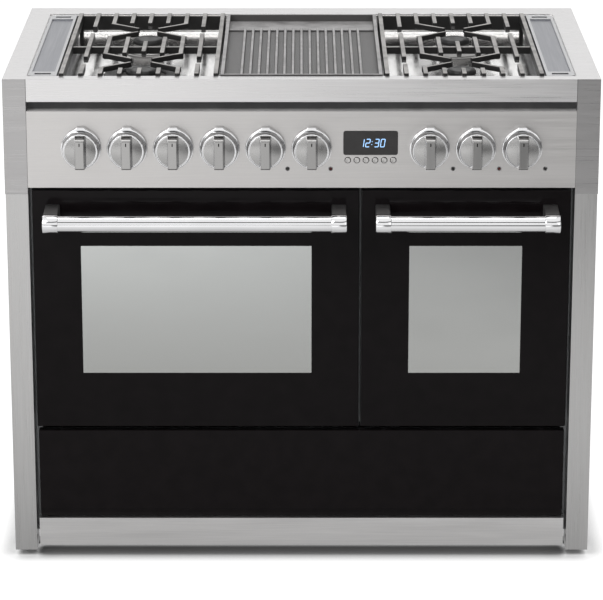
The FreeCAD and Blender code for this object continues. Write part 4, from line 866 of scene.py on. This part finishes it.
def handle(side):
    """Polished bar between two capped ends, each on a satin bracket."""
    node = f"{side}_handle"
    low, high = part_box(node)
    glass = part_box(f"{side}_door_glass")[0].y
    y, z = low.y + CAP_R, low.z + CAP_R
    along = Matrix.Rotation(math.radians(90), 4, "Y")
    mesh = bmesh.new()
    length = high.x - low.x
    turn = Matrix.Translation((low.x, y, z)) @ along
    ferrule = [
        (0, 0),
        (CAP_R - 2.5 * MM, 0),
        (CAP_R - 0.8 * MM, 0.5 * MM),
        (CAP_R, 1.8 * MM),
        (CAP_R, CAP_W - 1.2 * MM),
        (CAP_R - 0.8 * MM, CAP_W),
        (BAR_R, CAP_W),
    ]
    mirrored = [(radius, length - height) for radius, height in ferrule[::-1]]
    lathe(mesh, ferrule + mirrored, turn)
    made = piece(f"{side}_bar", mesh, bar_chrome, f"{side}_door")
    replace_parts(made, node)
    outline = [
        (y, z - CAP_R * 0.92),
        (glass, z - CAP_R + 2 * MM),
        (glass, z + CAP_R + 3 * MM),
        (y, z + CAP_R * 0.92),
    ]
    for n, start in enumerate((low.x, high.x - CAP_W), 1):
        mesh = bmesh.new()
        prism(mesh, outline, LEG_IN, CAP_W - LEG_IN, along_x(start))
        leg = piece(f"{side}_handle_leg_{n}", mesh, leg_steel, f"{side}_door")
        soften(leg, 2 * MM, 4)


for side in SIDES:
    door_front(side)
    handle(side)

# ------------------------------------------------------------------ hob

SLOT_DEEP = 20 * MM
SLOT_H = 15.8 * MM
SLOT_FOLD = 14 * MM
SLOT_SKIN = 0.4 * MM
SLOT_END = 0.5 * MM
SUPPORT_EDGE = 1.3 * MM


def slot_shadow_and_sill():
    """A dark folded strip at the back of the air slot over the control panel, a painted shadow
    where the slot lies in shade, and a pale sill, a painted light over the panel's top flange.
    """
    low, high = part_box("control_panel")
    back = low.y + SLOT_DEEP - 0.2 * MM
    top = high.z + SLOT_H
    skin = SLOT_SKIN
    strip = [
        (back, high.z + skin),
        (back, top),
        (back - SLOT_FOLD, top),
        (back - SLOT_FOLD, top - skin),
        (back - skin, top - skin),
        (back - skin, high.z + skin),
    ]
    sill = [
        (back, high.z + 0.1 * MM),
        (back, high.z + skin),
        (low.y + 1.5 * MM, high.z + skin),
        (low.y + 1.2 * MM, high.z + 0.1 * MM),
    ]
    mesh = bmesh.new()
    for n, outline in enumerate((strip, sill)):
        prism(mesh, outline, low.x + SLOT_END, high.x - SLOT_END, along_x(0), n)
    piece("slot_shadow_and_sill", mesh, [slot_painted_shadow, sill_painted_light], "cooker", 30)


slot_shadow_and_sill()
for side in SIDES:
    node = f"{side}_pan_support"
    node_copy(node, f"{side}_support_casting", iron, node, SUPPORT_EDGE)

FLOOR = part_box("left_pan_support")[0].z
CROWN_H = 18 * MM
CROWN_FOOT = CROWN_H - 9 * MM
CAP_H = 9 * MM
POT_DEEP = 34 * MM
PORTS, RING_PORTS = 36, 48
PORT_DEEP = 1.6 * MM
FOOT_R = {
    "front_left": 26 * MM,
    "rear_left": 38 * MM,
    "front_right": 36 * MM,
    "rear_right": 53 * MM,
}
DUAL = "front_left"  # two rings of flame
DUAL_LID_R = 27 * MM
DUAL_FLANGE = 65 * MM
DUAL_RING = in_mm([(44, 2), (44, 13.5), (62, 13.5), (62, 8), (63.5, 3), (63.5, 2)])
DUAL_RING_LID = in_mm(
    [(42, 14), (42, 17), (43.5, 19.2), (46, 20), (60, 20), (63.5, 18.6), (65, 16.6), (65, 14)]
    + [(42, 14)]
)
SPARK_PIN = in_mm([(2, 0), (2, 9), (1.2, 9.6), (1.0, 14), (0, 14.6)])
PIN_ASIDE = 7 * MM


def crown(mesh, place, profile, ports, first):
    """A turned crown notched as flame ports in two of its rings, from the first on."""
    rings = lathe(mesh, profile, place, ports * 4)
    middle = place @ Vector((0, 0, 0))
    for ring in rings[first:first + 2]:
        for n, vertex in enumerate(ring):
            if n % 4 in (1, 2):
                flat = Vector((vertex.co.x - middle.x, vertex.co.y - middle.y, 0))
                vertex.co -= flat.normalized() * PORT_DEEP


def burner(name):
    """Flange and crown with flame ports, spark pin, and the loose lid."""
    node = f"{name}_burner_cap"
    low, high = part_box(node)
    middle = (low + high) / 2
    place = Matrix.Translation((middle.x, middle.y, FLOOR))
    dual = name == DUAL
    lid_r = DUAL_LID_R if dual else (high.x - low.x) / 2
    foot_r = FOOT_R[name]
    flange = DUAL_FLANGE if dual else foot_r
    mesh = bmesh.new()
    pot = [
        (0, -POT_DEEP),
        (21 * MM, -POT_DEEP),
        (22 * MM, 1 * MM - POT_DEEP),
        (22 * MM, -0.2 * MM),
        (flange + 3.5 * MM, 0.05 * MM),
        (flange + 4 * MM, 0.6 * MM),
        (flange + 3.4 * MM, 1.9 * MM),
        (flange, 2.4 * MM),
        (foot_r, 4 * MM),
        (lid_r, CROWN_FOOT),
    ]
    lathe(mesh, pot, place)
    top = [
        (lid_r, CROWN_FOOT),
        (lid_r - 1 * MM, CROWN_H - 6 * MM),
        (lid_r - 1 * MM, CROWN_H),
        (0, CROWN_H),
    ]
    crown(mesh, place, top, PORTS, 1)
    if dual:
        crown(mesh, place, DUAL_RING, RING_PORTS, 2)
    lathe(mesh, SPARK_PIN, Matrix.Translation((middle.x + lid_r + PIN_ASIDE, middle.y, FLOOR)), 24)
    made = piece(f"{name}_burner", mesh, burner_alloy, "cooker", 30)
    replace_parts(made, "burner_bodies")
    mesh = bmesh.new()
    lathe(mesh, lid(lid_r, CROWN_H, CAP_H), place)
    if dual:
        lathe(mesh, DUAL_RING_LID, place)
    made = piece(f"{name}_lid", mesh, cap_enamel, node, 30)
    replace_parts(made, node)


def lid(radius, low, thick):
    """A shallow lid with a rolled edge and a slightly sunk middle."""
    return [
        (0, low),
        (radius - 1 * MM, low),
        (radius, low + 0.8 * MM),
        (radius, low + thick * 0.45),
        (radius - 0.8 * MM, low + thick * 0.75),
        (radius - 2.6 * MM, low + thick * 0.95),
        (radius - 5 * MM, low + thick),
        (radius * 0.62, low + thick),
        (radius * 0.58, low + thick - 0.7 * MM),
        (0, low + thick - 0.7 * MM),
    ]


for name in BURNERS:
    burner(name)

# ------------------------------------------------------------------ stage

FLOOR_HALF = 60
FLOOR_DROP = 0.5 * MM  # under the feet, so the two don't share a plane
floor_mesh = bmesh.new()
bmesh.ops.create_grid(floor_mesh, x_segments=1, y_segments=1, size=FLOOR_HALF)
floor_data = bpy.data.meshes.new("floor")
floor_mesh.to_mesh(floor_data)
floor_mesh.free()
floor = bpy.data.objects.new("floor", floor_data)
floor.location.z = -FLOOR_DROP
bpy.context.scene.collection.objects.link(floor)


SHADE_REACH = 0.045
SHADE_DARK = 0.45  # openness at which the shade is full
FLOOR_GREY = (0.30, 0.30, 0.30, 1)
FLOOR_SEEN = 0.97
# in reflections: (place, level) near the cooker from front to back, then across further out,
# and the places in front between which the first gives way to the second
FLOOR_NEAR = ((-1.2, 0.62), (-0.3, 0.36))
FLOOR_ACROSS = ((-0.3, 1.0), (0.8, 0.05))
FLOOR_AWAY = ((-2.9, 1.0), (-1.6, 0.0))


def floor_finish():
    """White to the camera but for the shade at the foot; in reflections paler to the left."""
    material = bpy.data.materials.new("floor_white")
    material.use_nodes = True
    tree = material.node_tree
    tree.nodes.clear()
    output = tree.nodes.new("ShaderNodeOutputMaterial")
    light = tree.nodes.new("ShaderNodeLightPath")
    diffuse = tree.nodes.new("ShaderNodeBsdfDiffuse")
    diffuse.inputs["Color"].default_value = FLOOR_GREY
    emission = tree.nodes.new("ShaderNodeEmission")
    shade = tree.nodes.new("ShaderNodeAmbientOcclusion")
    shade.inputs["Distance"].default_value = SHADE_REACH
    seen = link_range(tree, shade.outputs["AO"], SHADE_DARK, 1.0, 0.0, FLOOR_SEEN)
    coords = tree.nodes.new("ShaderNodeTexCoord")
    parts = tree.nodes.new("ShaderNodeSeparateXYZ")
    tree.links.new(coords.outputs["Object"], parts.inputs[0])
    ways = (("X", FLOOR_ACROSS), ("Y", FLOOR_NEAR), ("Y", FLOOR_AWAY))
    across, level, away = (
        link_range(tree, parts.outputs[axis], first, last, start, end)
        for axis, ((first, start), (last, end)) in ways
    )
    mix = tree.nodes.new("ShaderNodeMix")
    for socket, value in zip(mix.inputs[:1] + mix.inputs[2:4], (away, level, across)):
        tree.links.new(value, socket)
    mirrored = mix.outputs[0]
    glossy, through = light.outputs["Is Glossy Ray"], light.outputs["Is Transmission Ray"]
    either = link_math(tree, "MAXIMUM", glossy, through)
    strength = link_math(
        tree,
        "ADD",
        link_math(tree, "MULTIPLY", seen, light.outputs["Is Camera Ray"]),
        link_math(tree, "MULTIPLY", mirrored, either),
    )
    tree.links.new(strength, emission.inputs["Strength"])
    total = tree.nodes.new("ShaderNodeAddShader")
    tree.links.new(diffuse.outputs[0], total.inputs[0])
    tree.links.new(emission.outputs[0], total.inputs[1])
    tree.links.new(total.outputs[0], output.inputs["Surface"])
    return material


floor_data.materials.append(floor_finish())

STUDIO_DIFFUSE = 0.5
# the studio in reflections: (height of a direction, level), then (its reach to the right, level)
STUDIO_BANDS = (
    (0.0, 0.25),
    (0.05, 0.25),
    (0.08, 1.0),
    (0.50, 1.0),
    (0.54, 0.08),
    (0.66, 0.08),
    (0.70, 1.0),
)
STUDIO_SIDE = ((0.0, 1.0), (0.62, 1.0), (0.72, 0.15), (0.95, 0.15), (1.0, 0.5))


def studio_ramp(tree, value, stops):
    """Levels of grey at their places along a value."""
    ramp = tree.nodes.new("ShaderNodeValToRGB")
    elements = ramp.color_ramp.elements
    for n, (place, level) in enumerate(stops):
        stop = elements[n] if n < 2 else elements.new(place)
        stop.position = place
        stop.color = (level, level, level, 1)
    tree.links.new(value, ramp.inputs[0])
    grey = tree.nodes.new("ShaderNodeRGBToBW")
    tree.links.new(ramp.outputs["Color"], grey.inputs[0])
    return grey.outputs[0]


def world_finish():
    """White behind the object, white with dark bands in reflections, and softer as light."""
    world = bpy.data.worlds.new("studio")
    bpy.context.scene.world = world
    world.use_nodes = True
    tree = world.node_tree
    background = tree.nodes["Background"]
    background.inputs["Color"].default_value = (1, 1, 1, 1)
    light = tree.nodes.new("ShaderNodeLightPath")
    coords = tree.nodes.new("ShaderNodeTexCoord")
    parts = tree.nodes.new("ShaderNodeSeparateXYZ")
    tree.links.new(coords.outputs["Generated"], parts.inputs[0])
    bands = studio_ramp(tree, parts.outputs["Z"], STUDIO_BANDS)
    side = studio_ramp(tree, parts.outputs["X"], STUDIO_SIDE)
    glossy, through = light.outputs["Is Glossy Ray"], light.outputs["Is Transmission Ray"]
    mirrored = link_math(tree, "MULTIPLY", link_math(tree, "MULTIPLY", bands, side), glossy)
    straight = link_math(tree, "MAXIMUM", light.outputs["Is Camera Ray"], through)
    other = link_range(tree, glossy, 0.0, 1.0, STUDIO_DIFFUSE, 0.0)
    strength = link_math(tree, "MAXIMUM", link_math(tree, "MAXIMUM", mirrored, straight), other)
    tree.links.new(strength, background.inputs["Strength"])


world_finish()


def soft_box(name, place, target, size, power):
    """An area lamp aimed at a point."""
    data = bpy.data.lights.new(name, "AREA")
    data.shape = "RECTANGLE"
    data.size, data.size_y = size
    data.energy = power
    lamp = bpy.data.objects.new(name, data)
    bpy.context.scene.collection.objects.link(lamp)
    lamp.location = place
    lamp.rotation_euler = (Vector(target) - Vector(place)).to_track_quat("-Z", "Y").to_euler()


soft_box("key", (-2.6, -2.6, 3.0), (0, 0, 0.5), (2.0, 2.0), 45)
soft_box("fill", (3.0, -3.0, 2.0), (0, 0, 0.5), (2.5, 2.5), 6)
soft_box("top", (0.0, 0.6, 3.4), (0, 0, 0.8), (2.4, 1.6), 22)

# ------------------------------------------------------------------ camera

CAMERA_AWAY = 5.0  # from the doors' glass
CAMERA_HEIGHT = 1.975
CAMERA_PITCH = 16.8
CAMERA_LENS = 183.0
camera_data = bpy.data.cameras.new("camera")
camera_data.lens = CAMERA_LENS
camera_data.sensor_width = 36
camera = bpy.data.objects.new("camera", camera_data)
camera.location = (0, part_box("left_door_glass")[0].y - CAMERA_AWAY, CAMERA_HEIGHT)
camera.rotation_euler = (math.radians(90 - CAMERA_PITCH), 0, 0)
bpy.context.scene.collection.objects.link(camera)
bpy.context.scene.camera = camera
bpy.context.scene.view_settings.view_transform = "Standard"
